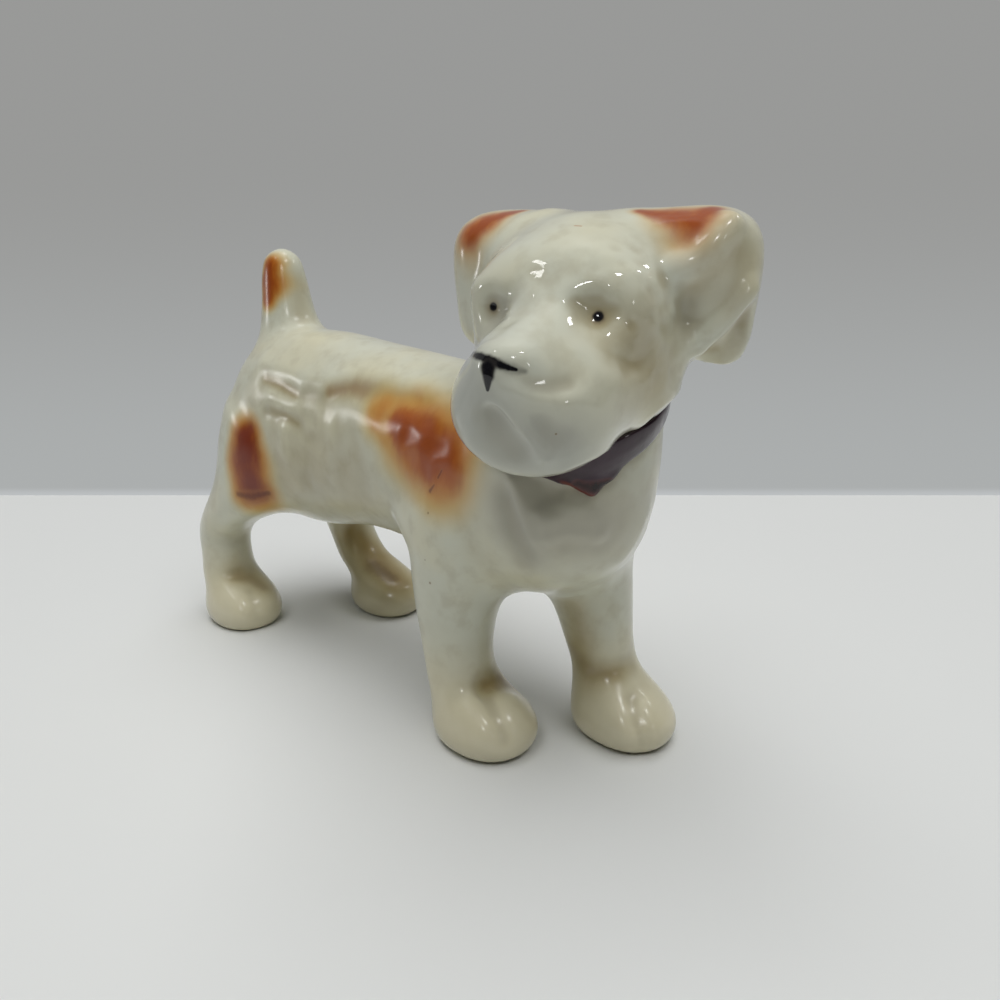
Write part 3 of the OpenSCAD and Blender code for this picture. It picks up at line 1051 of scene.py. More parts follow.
    @staticmethod
    def glaze_ripple() -> bpy.types.NodeTree:
        """Returns a group for the faint waves of a fired glaze."""
        sheet, given, out = new_group("Glaze ripple", {"Height": 0.01}, {"Normal": "Vector"})
        place = sheet.place()
        wavelets = sheet.noise(place, Effects.WAVELETS, 1.0)
        waves = sheet.noise(place, Effects.WAVES, 1.0)
        height = sheet.sum("MULTIPLY_ADD", wavelets, Effects.WAVELET_HEIGHT, waves)
        bump = sheet.node("ShaderNodeBump")
        sheet.feed(bump.inputs["Strength"], 1.0)
        sheet.feed(bump.inputs["Distance"], MM)
        sheet.feed(bump.inputs["Height"], sheet.sum("MULTIPLY", height, given.outputs["Height"]))
        sheet.feed(out.inputs["Normal"], bump.outputs["Normal"])
        return sheet.tree


@dataclass(frozen=True)
class Paint:
    """A ceramic colour: at its edge, in its body and in its heart."""

    edge: Colour
    body: Colour
    heart: Colour


AMBER = Paint((0.66, 0.54, 0.24), (0.60, 0.34, 0.09), (0.54, 0.23, 0.04))
SIENNA = Paint((0.40, 0.16, 0.04), (0.22, 0.06, 0.012), (0.14, 0.03, 0.008))
# Brown stain, also laid as painted shade at the ankles, in creases, on the ear, the cheek and the
# lower flank
STAIN_AND_SHADE = Paint((0.44, 0.36, 0.17), (0.40, 0.31, 0.135), (0.34, 0.25, 0.10))
RUST = Paint((0.60, 0.36, 0.10), (0.48, 0.150, 0.018), (0.34, 0.070, 0.010))
BURNT = Paint((0.54, 0.25, 0.045), (0.36, 0.095, 0.012), (0.21, 0.034, 0.012))
OCHRE = Paint((0.56, 0.47, 0.24), (0.42, 0.27, 0.08), (0.34, 0.18, 0.04))
BLACK = Paint((0.05, 0.045, 0.04), (0.010, 0.010, 0.012), (0.006, 0.006, 0.008))
# Umber for specks and the halos of the eyes; also laid as painted shade on the far hind leg
UMBER_AND_SHADE = Paint((0.40, 0.32, 0.17), (0.20, 0.12, 0.045), (0.10, 0.05, 0.02))
MAROON = Paint((0.10, 0.020, 0.015), (0.020, 0.004, 0.004), (0.008, 0.002, 0.002))
RED_EDGE = Paint((0.20, 0.045, 0.022), (0.17, 0.035, 0.018), (0.15, 0.03, 0.015))
# Painted shade under the chin, a little bluer than the glaze
PAINTED_CHIN_SHADE = Paint((0.52, 0.54, 0.48), (0.45, 0.465, 0.425), (0.43, 0.445, 0.41))
# Painted shade on the breast below the chin
PAINTED_PALE_SHADE = Paint((0.56, 0.54, 0.44), (0.51, 0.49, 0.40), (0.49, 0.47, 0.38))
# Painted shade: grey laid in hollows, in the ear's pit and under the collar
PAINTED_SHADE = Paint((0.46, 0.45, 0.37), (0.42, 0.41, 0.33), (0.40, 0.38, 0.30))


@dataclass(frozen=True)
class Mark:
    """A brush mark on the glaze, over pixels of the photograph.

    Args:
        way: pixels over which the brush passes, each with the mark's half width there in mm.
        paint: its colour.
        fade: share of the width over which its edge fades.
        ragged: how uneven the edge is.
        strength: how much of the glaze it covers.
        paired: whether the unseen side of the dog has the same mark.
    """

    way: tuple[tuple[float, float, float], ...]
    paint: Paint
    fade: float = 0.35
    ragged: float = 0.5
    strength: float = 1.0
    paired: bool = False


@dataclass(frozen=True)
class LaidMark:
    """A mark with the places on the clay under its pixels, and the way the brush is pressed on."""

    mark: Mark
    places: np.ndarray
    press: np.ndarray


@dataclass(frozen=True)
class Glaze:
    """A fired glaze, with the marks that lie on or under it.

    Args:
        name: the name of the record's material slot; not used.
        cool: the glaze's cooler tint.
        warm: its warmer tint.
        pool_shade: its colour where it has pooled, which also paints shade into the hollows.
        pool_shading: how strongly the pools and their painted shade show.
        specks: how strongly the specks show.
        paw_height: height below which it turns to cream, or 0 where it doesn't.
        paw_cream: the cream.
        paw_full: share of that height at which the cream is full.
        paw_share: how much of the glaze the cream covers there.
        paw_pool_shading: how strongly the pools and their painted shade show over the cream.
        ripple: height of the waves.
        roughness: roughness under the coat.
        specular: how much is mirrored under the coat.
        coat: weight of the coat.
        coat_roughness: roughness of the coat.
    """

    # Grain of a mark's noise, in lumps for each of its half widths, and how softly its runs merge
    MARK_GRAIN = 0.6
    RUN_MERGE = 0.25

    name: str
    cool: Colour
    warm: Colour
    pool_shade: Colour
    pool_shading: float
    specks: float
    paw_height: float = 0.0
    paw_cream: Colour = (0.73, 0.67, 0.47)
    paw_full: float = 0.15
    paw_share: float = 0.85
    paw_pool_shading: float = 0.8
    ripple: float = 0.012
    roughness: float = 0.34
    specular: float = 0.04
    coat: float = 1.0
    coat_roughness: float = 0.035

    def painted(
        self, sheet: Sheet, effects: Effects, colour: bpy.types.NodeSocket, laid: LaidMark
    ) -> bpy.types.NodeSocket:
        """Paints a mark over a colour.

        Args:
            sheet: the material's sheet.
            effects: the shared node groups.
            colour: the colour below the mark.
            laid: the mark.

        Returns:
            The colour with the mark.
        """
        mark, places, press = laid.mark, laid.places, laid.press
        widths = [step[2] for step in mark.way]
        if len(places) == 1:
            places, widths = np.repeat(places, 2, 0), widths * 2
        reach = None
        for i, start in enumerate(places[:-1]):
            run = places[i + 1] - start
            run = run - press * float(run @ press) * FLATTEN
            part = sheet.group(
                effects.reach,
                Start=tuple(start),
                Run=tuple(run),
                Press=tuple(press),
                Start_width=widths[i],
                End_width=widths[i + 1],
            ).outputs["Reach"]
            if reach is None:
                reach = part
            else:
                reach = sheet.sum("SMOOTH_MIN", reach, part, self.RUN_MERGE)
        return sheet.group(
            effects.paint,
            Base=colour,
            Reach=reach,
            Fade=mark.fade,
            Ragged=mark.ragged,
            Grain=self.MARK_GRAIN / max(widths),
            Strength=mark.strength,
            Edge=mark.paint.edge,
            Body=mark.paint.body,
            Heart=mark.paint.heart,
        ).outputs["Colour"]

    def material(self, effects: Effects, marks: list[LaidMark], name: str) -> bpy.types.Material:
        """Builds the material.

        Args:
            effects: the shared node groups.
            marks: the marks, the first one lowest.
            name: the material's name.

        Returns:
            The material.
        """
        made = bpy.data.materials.new(name)
        made.use_nodes = True
        sheet = Sheet(made.node_tree)
        shader = made.node_tree.nodes["Principled BSDF"]
        fired = sheet.group(
            effects.fire,
            Cool=self.cool,
            Warm=self.warm,
            Pool=self.pool_shade,
            Speck=UMBER_AND_SHADE.heart,
            Pooling=self.pool_shading,
            Specks=self.specks,
        )
        colour = fired.outputs["Colour"]
        if self.paw_height:
            split = sheet.node("ShaderNodeSeparateXYZ")
            sheet.feed(split.inputs[0], sheet.place())
            full = self.paw_full * self.paw_height
            low = sheet.ease(split.outputs["Z"], self.paw_height, full)
            colour = sheet.blend(sheet.sum("MULTIPLY", low, self.paw_share), colour, self.paw_cream)
            # Painted shade in the hollows shows more strongly over the cream of the paws
            pool_shaded = sheet.sum("MULTIPLY", fired.outputs["Pooled"], self.paw_pool_shading)
            colour = sheet.blend(pool_shaded, colour, self.pool_shade)
        for laid in marks:
            colour = self.painted(sheet, effects, colour, laid)
        sheet.feed(shader.inputs["Base Color"], colour)
        wave = sheet.group(effects.ripple, Height=self.ripple)
        sheet.feed(shader.inputs["Normal"], wave.outputs["Normal"])
        shader.inputs["Roughness"].default_value = self.roughness
        shader.inputs["Specular IOR Level"].default_value = self.specular
        shader.inputs["Coat Weight"].default_value = self.coat
        shader.inputs["Coat Roughness"].default_value = self.coat_roughness
        return made


WHITE = Glaze(
    "white_glaze",
    cool=(0.67, 0.68, 0.56),
    warm=(0.69, 0.67, 0.50),
    pool_shade=(0.44, 0.40, 0.27),
    pool_shading=0.6,
    specks=0.6,
    paw_height=17.0,
)
# The glaze's sheen is softer away from the face, where the photograph is out of focus
EAR_WHITE = replace(WHITE, coat_roughness=0.18)
SOFT_WHITE = replace(WHITE, coat_roughness=0.24)
AUBERGINE = Glaze(
    "collar_glaze",
    cool=(0.022, 0.008, 0.014),
    warm=(0.055, 0.030, 0.046),
    pool_shade=(0.012, 0.003, 0.005),
    pool_shading=0.8,
    specks=0.0,
    ripple=0.06,
    roughness=0.28,
    coat=0.75,
)


# ---------------------------------------------------------------- the sub-assemblies


@dataclass
class Workshop:
    """What every piece needs while it is made: eye, clay, effects and mirror planes."""

    eye: PhotoEye
    clay: Clay
    effects: Effects
    body_middle: float = 3.965
    head_middle: Point = (27.72, -1.57, 48.02)
    head_turn: float = -75.0

    def over(self, way: tuple[Pixel, ...], step: float = 7.0) -> np.ndarray:
        """Points of the clay that lie over pixels of the photograph.

        Args:
            way: the pixels.
            step: the longest way between two of the points, in pixels.

        Returns:
            The points, with more between pixels that are far apart.
        """
        row = [np.array(way[0], float)]
        for a, b in zip(way, way[1:]):
            n = max(1, math.ceil(math.dist(a, b) / step))
            row += [np.array(a) + (np.array(b) - np.array(a)) * i / n for i in range(1, n + 1)]
        return self.clay.seek(np.array(self.eye.place), self.eye.rays(np.array(row)))

    def across(self, points: np.ndarray, on_head: bool) -> np.ndarray:
        """The same points on the other side of the dog.

        Args:
            points: the points.
            on_head: whether the head's own middle plane is the mirror, and not the body's.

        Returns:
            The mirrored points, moved onto the clay.
        """
        if on_head:
            turn = math.radians(self.head_turn)
            left = np.array([-math.sin(turn), math.cos(turn), 0.0])
            mirrored = points - 2 * ((points - self.head_middle) @ left)[:, None] * left
        else:
            mirrored = points * [1, -1, 1] + [0, 2 * self.body_middle, 0]
        return self.clay.settle(mirrored, MIRROR_STEPS)

    def work(self, strokes: tuple[Stroke, ...], on_head: bool = False) -> None:
        """Makes strokes in the clay.

        Args:
            strokes: the strokes, in order.
            on_head: whether they are on the head.
        """
        for stroke in strokes:
            ways = [self.over(stroke.way)]
            if stroke.paired:
                ways.append(self.across(ways[0], on_head))
            for way in ways:
                if stroke.tool is Tool.WIPE:
                    self.clay.wipe(way, stroke.width, round(stroke.depth))
                else:
                    self.clay.work(way, stroke.width, stroke.depth * stroke.tool.value)

    def laid(self, mark: Mark, places: np.ndarray) -> LaidMark:
        """Lays a mark on the clay.

        Args:
            mark: the mark.
            places: the places over which the brush passes.

        Returns:
            The mark with its places and the way in which the brush is pressed on.
        """
        press = self.clay.slope(places).sum(0)
        return LaidMark(mark, places, press / np.linalg.norm(press))

    def all_laid(self, marks: tuple[Mark, ...], on_head: bool = False) -> list[LaidMark]:
        """Lays marks on the clay, the paired ones on both sides of the dog.

        Args:
            marks: the marks.
            on_head: whether they are on the head.

        Returns:
            The laid marks.
        """
        found = []
        for mark in marks:
            places = self.over(tuple(step[:2] for step in mark.way), GIVEN_PIXELS_ONLY)
            found.append(self.laid(mark, places))
            if mark.paired:
                found.append(self.laid(mark, self.across(places, on_head)))
        return found


@dataclass
class Part:
    """A sub-assembly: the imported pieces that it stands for, and what is done to their clay.

    Args:
        nodes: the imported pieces.
        softness: width of the fillet that lutes them to their neighbour.
        on_head: whether they belong to the head, which is turned to the right.
        strokes: strokes of the modelling tool.
        fur: patches of scoops.
        marks: brush marks.
        glaze: the glaze over all of it.
    """

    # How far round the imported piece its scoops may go
    FUR_MARGIN = 2.0

    nodes: tuple[str, ...]
    softness: float
    on_head: bool = False
    strokes: tuple[Stroke, ...] = ()
    fur: tuple[Scoops, ...] = ()
    marks: tuple[Mark, ...] = ()
    glaze: Glaze = SOFT_WHITE

    def model(self, shop: Workshop) -> None:
        """Works the clay of this sub-assembly.

        Args:
            shop: the workshop.
        """
        shop.work(self.strokes, self.on_head)
        if self.fur:
            low, high = (np.array(corner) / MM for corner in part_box(self.nodes[0]))
            middles = shop.over(tuple(patch.over for patch in self.fur), GIVEN_PIXELS_ONLY)
            for patch, middle in zip(self.fur, middles):
                shop.clay.scoop(low - self.FUR_MARGIN, high + self.FUR_MARGIN, middle, patch)

    def dress(self, shop: Workshop, cuts: dict[str, Cut]) -> list[bpy.types.Object]:
        """Makes the meshes of the pieces, paints them, and sets them in the frame.

        Args:
            shop: the workshop.
            cuts: the cut pieces of the skin by node name.

        Returns:
            The pieces.
        """
        laid = shop.all_laid(self.marks, self.on_head)
        finish = self.glaze.material(shop.effects, laid, f"{self.nodes[0]}_finish")
        made = []
        for node in self.nodes:
            piece = mesh_object(f"{node}_glazed", cuts[node])
            piece.data.materials.append(finish)
            set_in_frame(piece, node)
            made.append(piece)
        return made


def set_in_frame(piece: bpy.types.Object, node: str) -> None:
    """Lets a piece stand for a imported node.

    Args:
        piece: the piece.
        node: the node's name.
    """
    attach(piece, "root")
    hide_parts(node)


PRESS, LAY_ON, WIPE = Tool.PRESS, Tool.LAY_ON, Tool.WIPE

# Marks that show on more than one piece: brown sprayed over the rump, the shoulder and the ears,
# and painted shade on the breast and in the near ear's pit and on its flap. The two numbers after a
# mark's paint are its fade and its raggedness.
HAUNCH_MARKS = (
    Mark(((244, 440, 3.7), (246, 466, 4.4), (250, 493, 4.1)), AMBER, 0.40, 0.4, paired=True),
    Mark(((245, 438, 2.9), (245, 462, 3.7), (250, 486, 3.4)), BURNT, 0.5, 0.6, paired=True),
    Mark(((238, 494, 0.5), (252, 497, 0.8), (268, 493, 0.5)), SIENNA, 1.0, 0.5, strength=0.7),
)
FLANK_MARKS = (
    Mark(((382, 414, 3.6), (406, 434, 5.4), (438, 456, 6.0)), AMBER, 0.45, 0.5, paired=True),
    Mark(((398, 422, 2.6), (420, 444, 4.8), (444, 460, 4.8)), RUST, 0.6, 0.8, paired=True),
    Mark(((442, 470, 0.13), (438, 478, 0.17)), SIENNA, 1.0, 1.2, strength=0.65),
    Mark(((434, 485, 0.12), (430, 491, 0.26)), SIENNA, 1.0, 1.0, strength=0.7),
)
BREAST_MARKS = (
    # Painted shade below the chin, in the groove beside the breast's ridge, and under the collar
    Mark(((520, 505, 4.2), (548, 528, 4.6), (596, 530, 4.4)), PAINTED_PALE_SHADE, 1.0, 0.6, strength=0.95),
    Mark(((508, 500, 1.2), (516, 528, 2.0), (528, 552, 1.6)), PAINTED_SHADE, 1.0, 0.6, strength=0.8),
    Mark(((544, 486, 1.4), (556, 500, 1.2)), PAINTED_SHADE, 1.0, 0.6, strength=0.25),
)
EAR_MARKS = (
    Mark(((640, 211, 0.8), (674, 216, 2.0), (692, 220, 2.5), (714, 209, 1.2)), RUST, 0.85, 0.5),
    Mark(((472, 231, 2.1), (488, 221, 2.1), (520, 211, 0.8)), RUST, 0.85, 0.5),
    # Painted shade in the near ear's pit, on its folded flap, and in the hollow above the fold
    Mark(((688, 307, 0.9), (688, 316, 0.9)), PAINTED_SHADE, 1.0, 0.3, strength=0.4),
    Mark(((738, 328, 1.2), (722, 350, 1.8)), STAIN_AND_SHADE, 1.0, 0.3, strength=0.4),
    Mark(((742, 258, 2.2), (734, 294, 2.2)), STAIN_AND_SHADE, 1.0, 0.4, strength=0.35),
)


@dataclass
class Torso(Part):
    """Rump, ribs, breast and neck, with the combed edge of the coat along the upper flank."""

    # The ridge and the groove of the coat's edge
    COAT_RIDGE = (
        (262, 362), (282, 367), (300, 377), (324, 379),
        (345, 375), (376, 376), (402, 380), (430, 389),
    )
    COAT_GROOVE = (
        (264, 380), (281, 385), (299, 396), (324, 397), (341, 393),
        (356, 389), (377, 394), (402, 397), (428, 403),
    )

    nodes: tuple[str, ...] = ("torso",)
    softness: float = 0.0
    strokes: tuple[Stroke, ...] = (
        Stroke(COAT_RIDGE, 1.9, 0.20, LAY_ON, paired=True),
        Stroke(COAT_GROOVE, 1.2, 0.26, PRESS, paired=True),
        Stroke(((285, 400), (318, 412), (350, 405), (385, 402)), 2.6, 0.16, PRESS, paired=True),
        Stroke(((272, 397), (292, 402), (312, 403)), 1.3, 0.18, LAY_ON, paired=True),
        Stroke(((266, 411), (281, 416), (299, 424)), 0.9, 0.24, PRESS, paired=True),
        Stroke(((285, 428), (284, 450)), 1.5, 0.34, LAY_ON, paired=True),
        Stroke(((308, 440), (306, 480)), 1.8, 0.20, PRESS, paired=True),
        Stroke(((330, 425), (332, 465), (338, 500)), 1.2, 0.12, LAY_ON, paired=True),
        Stroke(((352, 430), (360, 470), (368, 500)), 1.3, 0.10, PRESS, paired=True),
        Stroke(((402, 428), (420, 436), (436, 420)), 1.4, 0.14, LAY_ON, paired=True),
        Stroke(((513, 482), (521, 505), (527, 520), (534, 540)), 0.8, 0.40, LAY_ON),
        Stroke(((502, 495), (509, 520), (515, 545), (524, 562)), 1.4, 0.45, PRESS),
        Stroke(((541, 484), (549, 500)), 1.3, 0.44, PRESS),
        Stroke(((540, 512), (560, 505), (586, 508)), 0.7, 0.55, LAY_ON),
        Stroke(((543, 524), (566, 518), (592, 520)), 0.7, 0.55, LAY_ON),
        Stroke(((548, 538), (572, 532), (600, 535)), 0.7, 0.50, LAY_ON),
        Stroke(((560, 537), (566, 545)), 1.0, 0.14, PRESS),
        Stroke(((620, 560), (636, 538), (646, 512)), 1.1, 0.24, LAY_ON),
        Stroke(((604, 548), (618, 530), (625, 512)), 1.1, 0.16, PRESS),
        Stroke(((400, 518), (404, 528)), 1.6, 0.45, LAY_ON),
        Stroke(((398, 515), (405, 540)), 2.0, 8, WIPE),
    )
    # on the shoulder and on the rump
    fur: tuple[Scoops, ...] = (
        Scoops((420, 430), (9, 5, 7), grain=4.6, amount=0.11, seed=7),
        Scoops((292, 430), (11, 5, 8), grain=6.5, amount=0.06, seed=3),
    )
    marks: tuple[Mark, ...] = (
        # Painted shade on the lower flank
        Mark(((290, 482, 6.0), (345, 480, 6.0)), STAIN_AND_SHADE, 1.0, 0.5, strength=0.30, paired=True),
        Mark(((330, 391, 1.0), (354, 388, 1.5), (378, 394, 2.0)), OCHRE, 1.0, 0.7, strength=0.6),
        *FLANK_MARKS,
        *HAUNCH_MARKS,
        *BREAST_MARKS,
        # Painted shade in the creases below the coat's edge
        Mark(((266, 379, 0.6), (280, 385, 0.7), (296, 395, 0.6)), STAIN_AND_SHADE, 1.0, 0.6, strength=0.7),
        Mark(((272, 410, 0.6), (286, 416, 0.6), (298, 424, 0.4)), STAIN_AND_SHADE, 1.0, 0.6, strength=0.35),
        Mark(((428, 513, 0.14),), UMBER_AND_SHADE, fade=0.8, strength=0.6),
    )


@dataclass
class Tail(Part):
    """Short upright tail, sprayed brown on one side."""

    nodes: tuple[str, ...] = ("tail",)
    softness: float = 2.6
    marks: tuple[Mark, ...] = (
        Mark(((297, 282, 1.4), (301, 312, 1.8)), STAIN_AND_SHADE, fade=1.0, ragged=0.4, strength=0.30),
        Mark(((271, 267, 1.9), (270, 283, 2.4), (267, 299, 1.9)), AMBER, fade=0.5, ragged=0.4),
        Mark(((270, 266, 1.8), (269, 283, 2.3), (267, 298, 1.7)), RUST, fade=0.5, ragged=0.5),
    )


@dataclass
class Forelegs(Part):
    """Both forelegs, with their paws."""

    nodes: tuple[str, ...] = ("foreleg_left", "foreleg_right")
    softness: float = 4.0
    strokes: tuple[Stroke, ...] = (
        Stroke(((484, 684), (498, 680), (512, 684)), 1.5, 0.60, PRESS),
        Stroke(((474, 716), (484, 726)), 2.0, 0.40, LAY_ON),
        Stroke(((510, 704), (514, 718)), 2.0, 0.40, LAY_ON),
        Stroke(((484, 694), (491, 706), (499, 722), (505, 742)), 0.9, 0.40, PRESS),
        Stroke(((576, 664), (594, 672), (614, 672), (632, 664)), 1.6, 0.45, PRESS),
        Stroke(((618, 722), (624, 734)), 1.8, 0.32, LAY_ON),
        Stroke(((650, 712), (654, 724)), 1.8, 0.32, LAY_ON),
        Stroke(((632, 700), (637, 722), (642, 746)), 0.9, 0.36, PRESS),
    )
    marks: tuple[Mark, ...] = (
        *FLANK_MARKS, *BREAST_MARKS,
        # Painted shade at both ankles and along the inner side of the left foreleg
        Mark(((486, 686, 1.3), (502, 681, 1.6), (518, 686, 1.3)), STAIN_AND_SHADE, 1.0, 0.5, strength=0.9),
        Mark(((574, 650, 1.8), (590, 672, 1.9), (612, 674, 1.4)), STAIN_AND_SHADE, 1.0, 0.5, strength=0.7),
        Mark(((572, 604, 1.7), (582, 640, 1.7)), STAIN_AND_SHADE, fade=1.0, ragged=0.4, strength=0.5),
        Mark(((430, 583, 0.15),), UMBER_AND_SHADE, fade=0.8, strength=0.7),
        Mark(((425, 560, 0.09),), UMBER_AND_SHADE, fade=0.8, strength=0.6),
    )


@dataclass
class Hindlegs(Part):
    """Both hind legs, with the sprayed haunch."""

    nodes: tuple[str, ...] = ("hindleg_left", "hindleg_right")
    softness: float = 4.0
    strokes: tuple[Stroke, ...] = (
        Stroke(((236, 575), (250, 577), (262, 584)), 1.2, 0.30, PRESS, paired=True),
        Stroke(((236, 605), (240, 612)), 1.7, 0.20, LAY_ON),
        Stroke(((250, 592), (254, 606), (258, 622)), 0.9, 0.22, PRESS),
    )
    marks: tuple[Mark, ...] = (
        *HAUNCH_MARKS,
        # Painted shade at the near hind ankle, and on the far hind leg under the belly
        Mark(((238, 576, 1.6), (252, 580, 1.9), (264, 588, 1.5)), STAIN_AND_SHADE, 1.0, 0.5, strength=0.7),
        Mark(((352, 532, 2.4), (376, 560, 4.2), (396, 580, 3.4)), STAIN_AND_SHADE, 1.0, 0.5),
        Mark(((374, 566, 2.0), (392, 578, 1.6)), UMBER_AND_SHADE, fade=1.0, ragged=0.5, strength=0.5),
    )


@dataclass
class Head(Part):
    """Skull, brow, bridge of the nose, lips and beard, with eyes and nose in black enamel."""

    # The arch over the petal of the beard, and the dark line of the nose with its shade
    BEARD_ARCH = (
        (474, 420), (479, 407), (491, 401), (507, 410), (521, 429), (535, 446), (545, 458),
    )
    NOSE_LINE = (
        (472, 354, 0.26), (480, 356.5, 0.31), (488, 359.5, 0.35), (493, 361.5, 0.35),
        (500, 364.5, 0.31), (508, 367.5, 0.22), (516, 369.5, 0.12),
    )
    NOSE_SHADE = ((500, 365, 0.34), (512, 369, 0.34), (525, 371.5, 0.18))

    nodes: tuple[str, ...] = ("head",)
    softness: float = 1.0
    on_head: bool = True
    glaze: Glaze = WHITE
    strokes: tuple[Stroke, ...] = (
        # the hollow between brow and muzzle is filled, so that the bridge slopes into the cheek
        Stroke(((560, 326), (582, 345), (606, 356)), 2.6, 0.75, LAY_ON),
        Stroke(((545, 318), (530, 334)), 2.2, 0.40, LAY_ON),
        # the bridge of the nose, with its sharp edge on the far side
        Stroke(((530, 297), (514, 315), (498, 332), (484, 345)), 1.3, 0.40, LAY_ON),
        Stroke(((504, 323), (490, 336), (476, 347)), 0.8, 0.42, PRESS),
        Stroke(((484, 350), (500, 352), (518, 356)), 1.3, 0.50, LAY_ON),
        # eye sockets, brows and lids
        Stroke(((493, 305), (494, 310)), 1.25, 0.45, PRESS),
        Stroke(((474, 288), (490, 284), (506, 287)), 0.9, 0.30, LAY_ON),
        Stroke(((482, 322), (493, 324)), 0.6, 0.14, LAY_ON),
        Stroke(((598, 315), (599, 319)), 1.1, 0.35, PRESS),
        Stroke(((578, 304), (590, 304), (604, 306), (618, 312)), 0.9, 0.16, PRESS),
        Stroke(((568, 291), (578, 285), (592, 284), (606, 289), (622, 300)), 0.75, 0.22, LAY_ON),
        Stroke(((584, 331), (602, 334), (618, 327)), 0.7, 0.13, LAY_ON),
        # nose, lips and the petal of the beard
        Stroke(((487, 366), (487, 392)), 0.45, 0.18, PRESS),
        Stroke(((506, 373), (520, 377), (531, 385), (548, 389), (568, 385)), 0.75, 0.42, PRESS),
        Stroke(((519, 389), (534, 397), (552, 401), (578, 395)), 1.1, 0.30, LAY_ON),
        Stroke(BEARD_ARCH, 0.55, 0.85, LAY_ON),
        Stroke(((488, 418), (497, 434), (512, 452)), 1.6, 1.25, PRESS),
        Stroke(((541, 428), (551, 437), (564, 440)), 1.3, 0.70, PRESS),
        Stroke(((470, 446), (488, 462), (510, 471), (535, 474), (556, 470)), 0.8, 0.22, LAY_ON),
        Stroke(((562, 470), (600, 453), (640, 425), (664, 402), (680, 390)), 0.6, 0.26, LAY_ON),
        # cheek
        Stroke(((612, 362), (626, 368), (640, 366)), 1.0, 0.20, PRESS),
        Stroke(((598, 376), (622, 384), (644, 380)), 1.2, 0.20, LAY_ON),
        Stroke(((676, 336), (672, 352), (676, 372)), 1.2, 0.30, PRESS),
    )
    # on brow, temple and cheek
    fur: tuple[Scoops, ...] = (
        Scoops((560, 275), (6, 6, 3.5), grain=2.6, amount=0.07, seed=2),
        Scoops((645, 285), (6.5, 6.5, 4.8), grain=2.5, amount=0.12, seed=11),
        Scoops((645, 350), (5.0, 5.0, 5.0), grain=3.2, amount=0.17, seed=5),
    )
    marks: tuple[Mark, ...] = (
        *EAR_MARKS,
        # Painted shade under the chin, in the hollows of the beard, and on the cheek
        Mark(((478, 410, 4.6), (505, 440, 5.2), (545, 462, 4.6)), PAINTED_CHIN_SHADE, 0.8, 0.4, strength=0.8),
        Mark(((490, 417, 1.3), (499, 434, 1.7), (513, 452, 1.3)), PAINTED_SHADE, 0.7, 0.5, strength=0.45),
        Mark(((544, 431, 1.0), (554, 439, 1.2)), PAINTED_SHADE, fade=0.9, ragged=0.5, strength=0.4),
        Mark(((640, 345, 3.5), (655, 370, 3.5)), STAIN_AND_SHADE, fade=1.0, ragged=0.6, strength=0.55),
        Mark(((493.6, 308, 0.62),), UMBER_AND_SHADE, fade=0.8, strength=0.6),
        Mark(((598.5, 318, 0.70),), UMBER_AND_SHADE, fade=0.8, strength=0.6),
        Mark(((493.6, 306.6, 0.37),), BLACK, fade=0.25, ragged=0.3),
        Mark(((598.3, 316.8, 0.44),), BLACK, fade=0.25, ragged=0.3),
        Mark(NOSE_LINE, BLACK, fade=0.5, ragged=0.7),
        Mark(NOSE_SHADE, BLACK, fade=1.0, ragged=0.8, strength=0.5),
        Mark(((488, 367.5, 0.66), (488, 376, 0.50), (487.5, 389, 0.20)), BLACK, 0.3, 0.4),
        Mark(((575, 225.6, 0.10), (581, 226, 0.10)), RUST, fade=0.8, strength=0.5),
        Mark(((556, 434, 0.09),), UMBER_AND_SHADE, fade=0.6, strength=0.7),
        Mark(((456, 436, 0.07),), UMBER_AND_SHADE, fade=0.6, strength=0.7),
    )


@dataclass
class Ears(Part):
    """Both ears: thick flaps that fold over and hang against the cheeks."""

    nodes: tuple[str, ...] = ("ear_left", "ear_right")
    softness: float = 4.0
    on_head: bool = True
    glaze: Glaze = EAR_WHITE
    strokes: tuple[Stroke, ...] = (
        # the join between the crown and the far ear
        Stroke(((546, 213), (530, 218), (508, 231), (492, 250)), 1.5, 0.32, LAY_ON),
        Stroke(((556, 213), (535, 219), (513, 236), (497, 254)), 1.8, 14, WIPE),
        # the pit in front of the near ear
        Stroke(((692, 300), (688, 313), (690, 324)), 1.4, 0.50, PRESS),
        Stroke(((687, 309), (688, 316)), 0.8, 0.55, PRESS),
        # the fold of the near ear, and its flap
        Stroke(((731, 222), (720, 238), (708, 253), (696, 262), (676, 268)), 1.1, 1.10, LAY_ON),
        Stroke(((742, 256), (731, 285), (716, 305)), 2.3, 0.55, PRESS),
        Stroke(((751, 290), (737, 314), (720, 331), (702, 348)), 0.9, 0.95, LAY_ON),
        Stroke(((748, 322), (733, 342), (716, 356)), 1.5, 1.20, PRESS),
        Stroke(((706, 362), (722, 366), (738, 358)), 0.8, 0.35, LAY_ON),
    )
    marks: tuple[Mark, ...] = EAR_MARKS


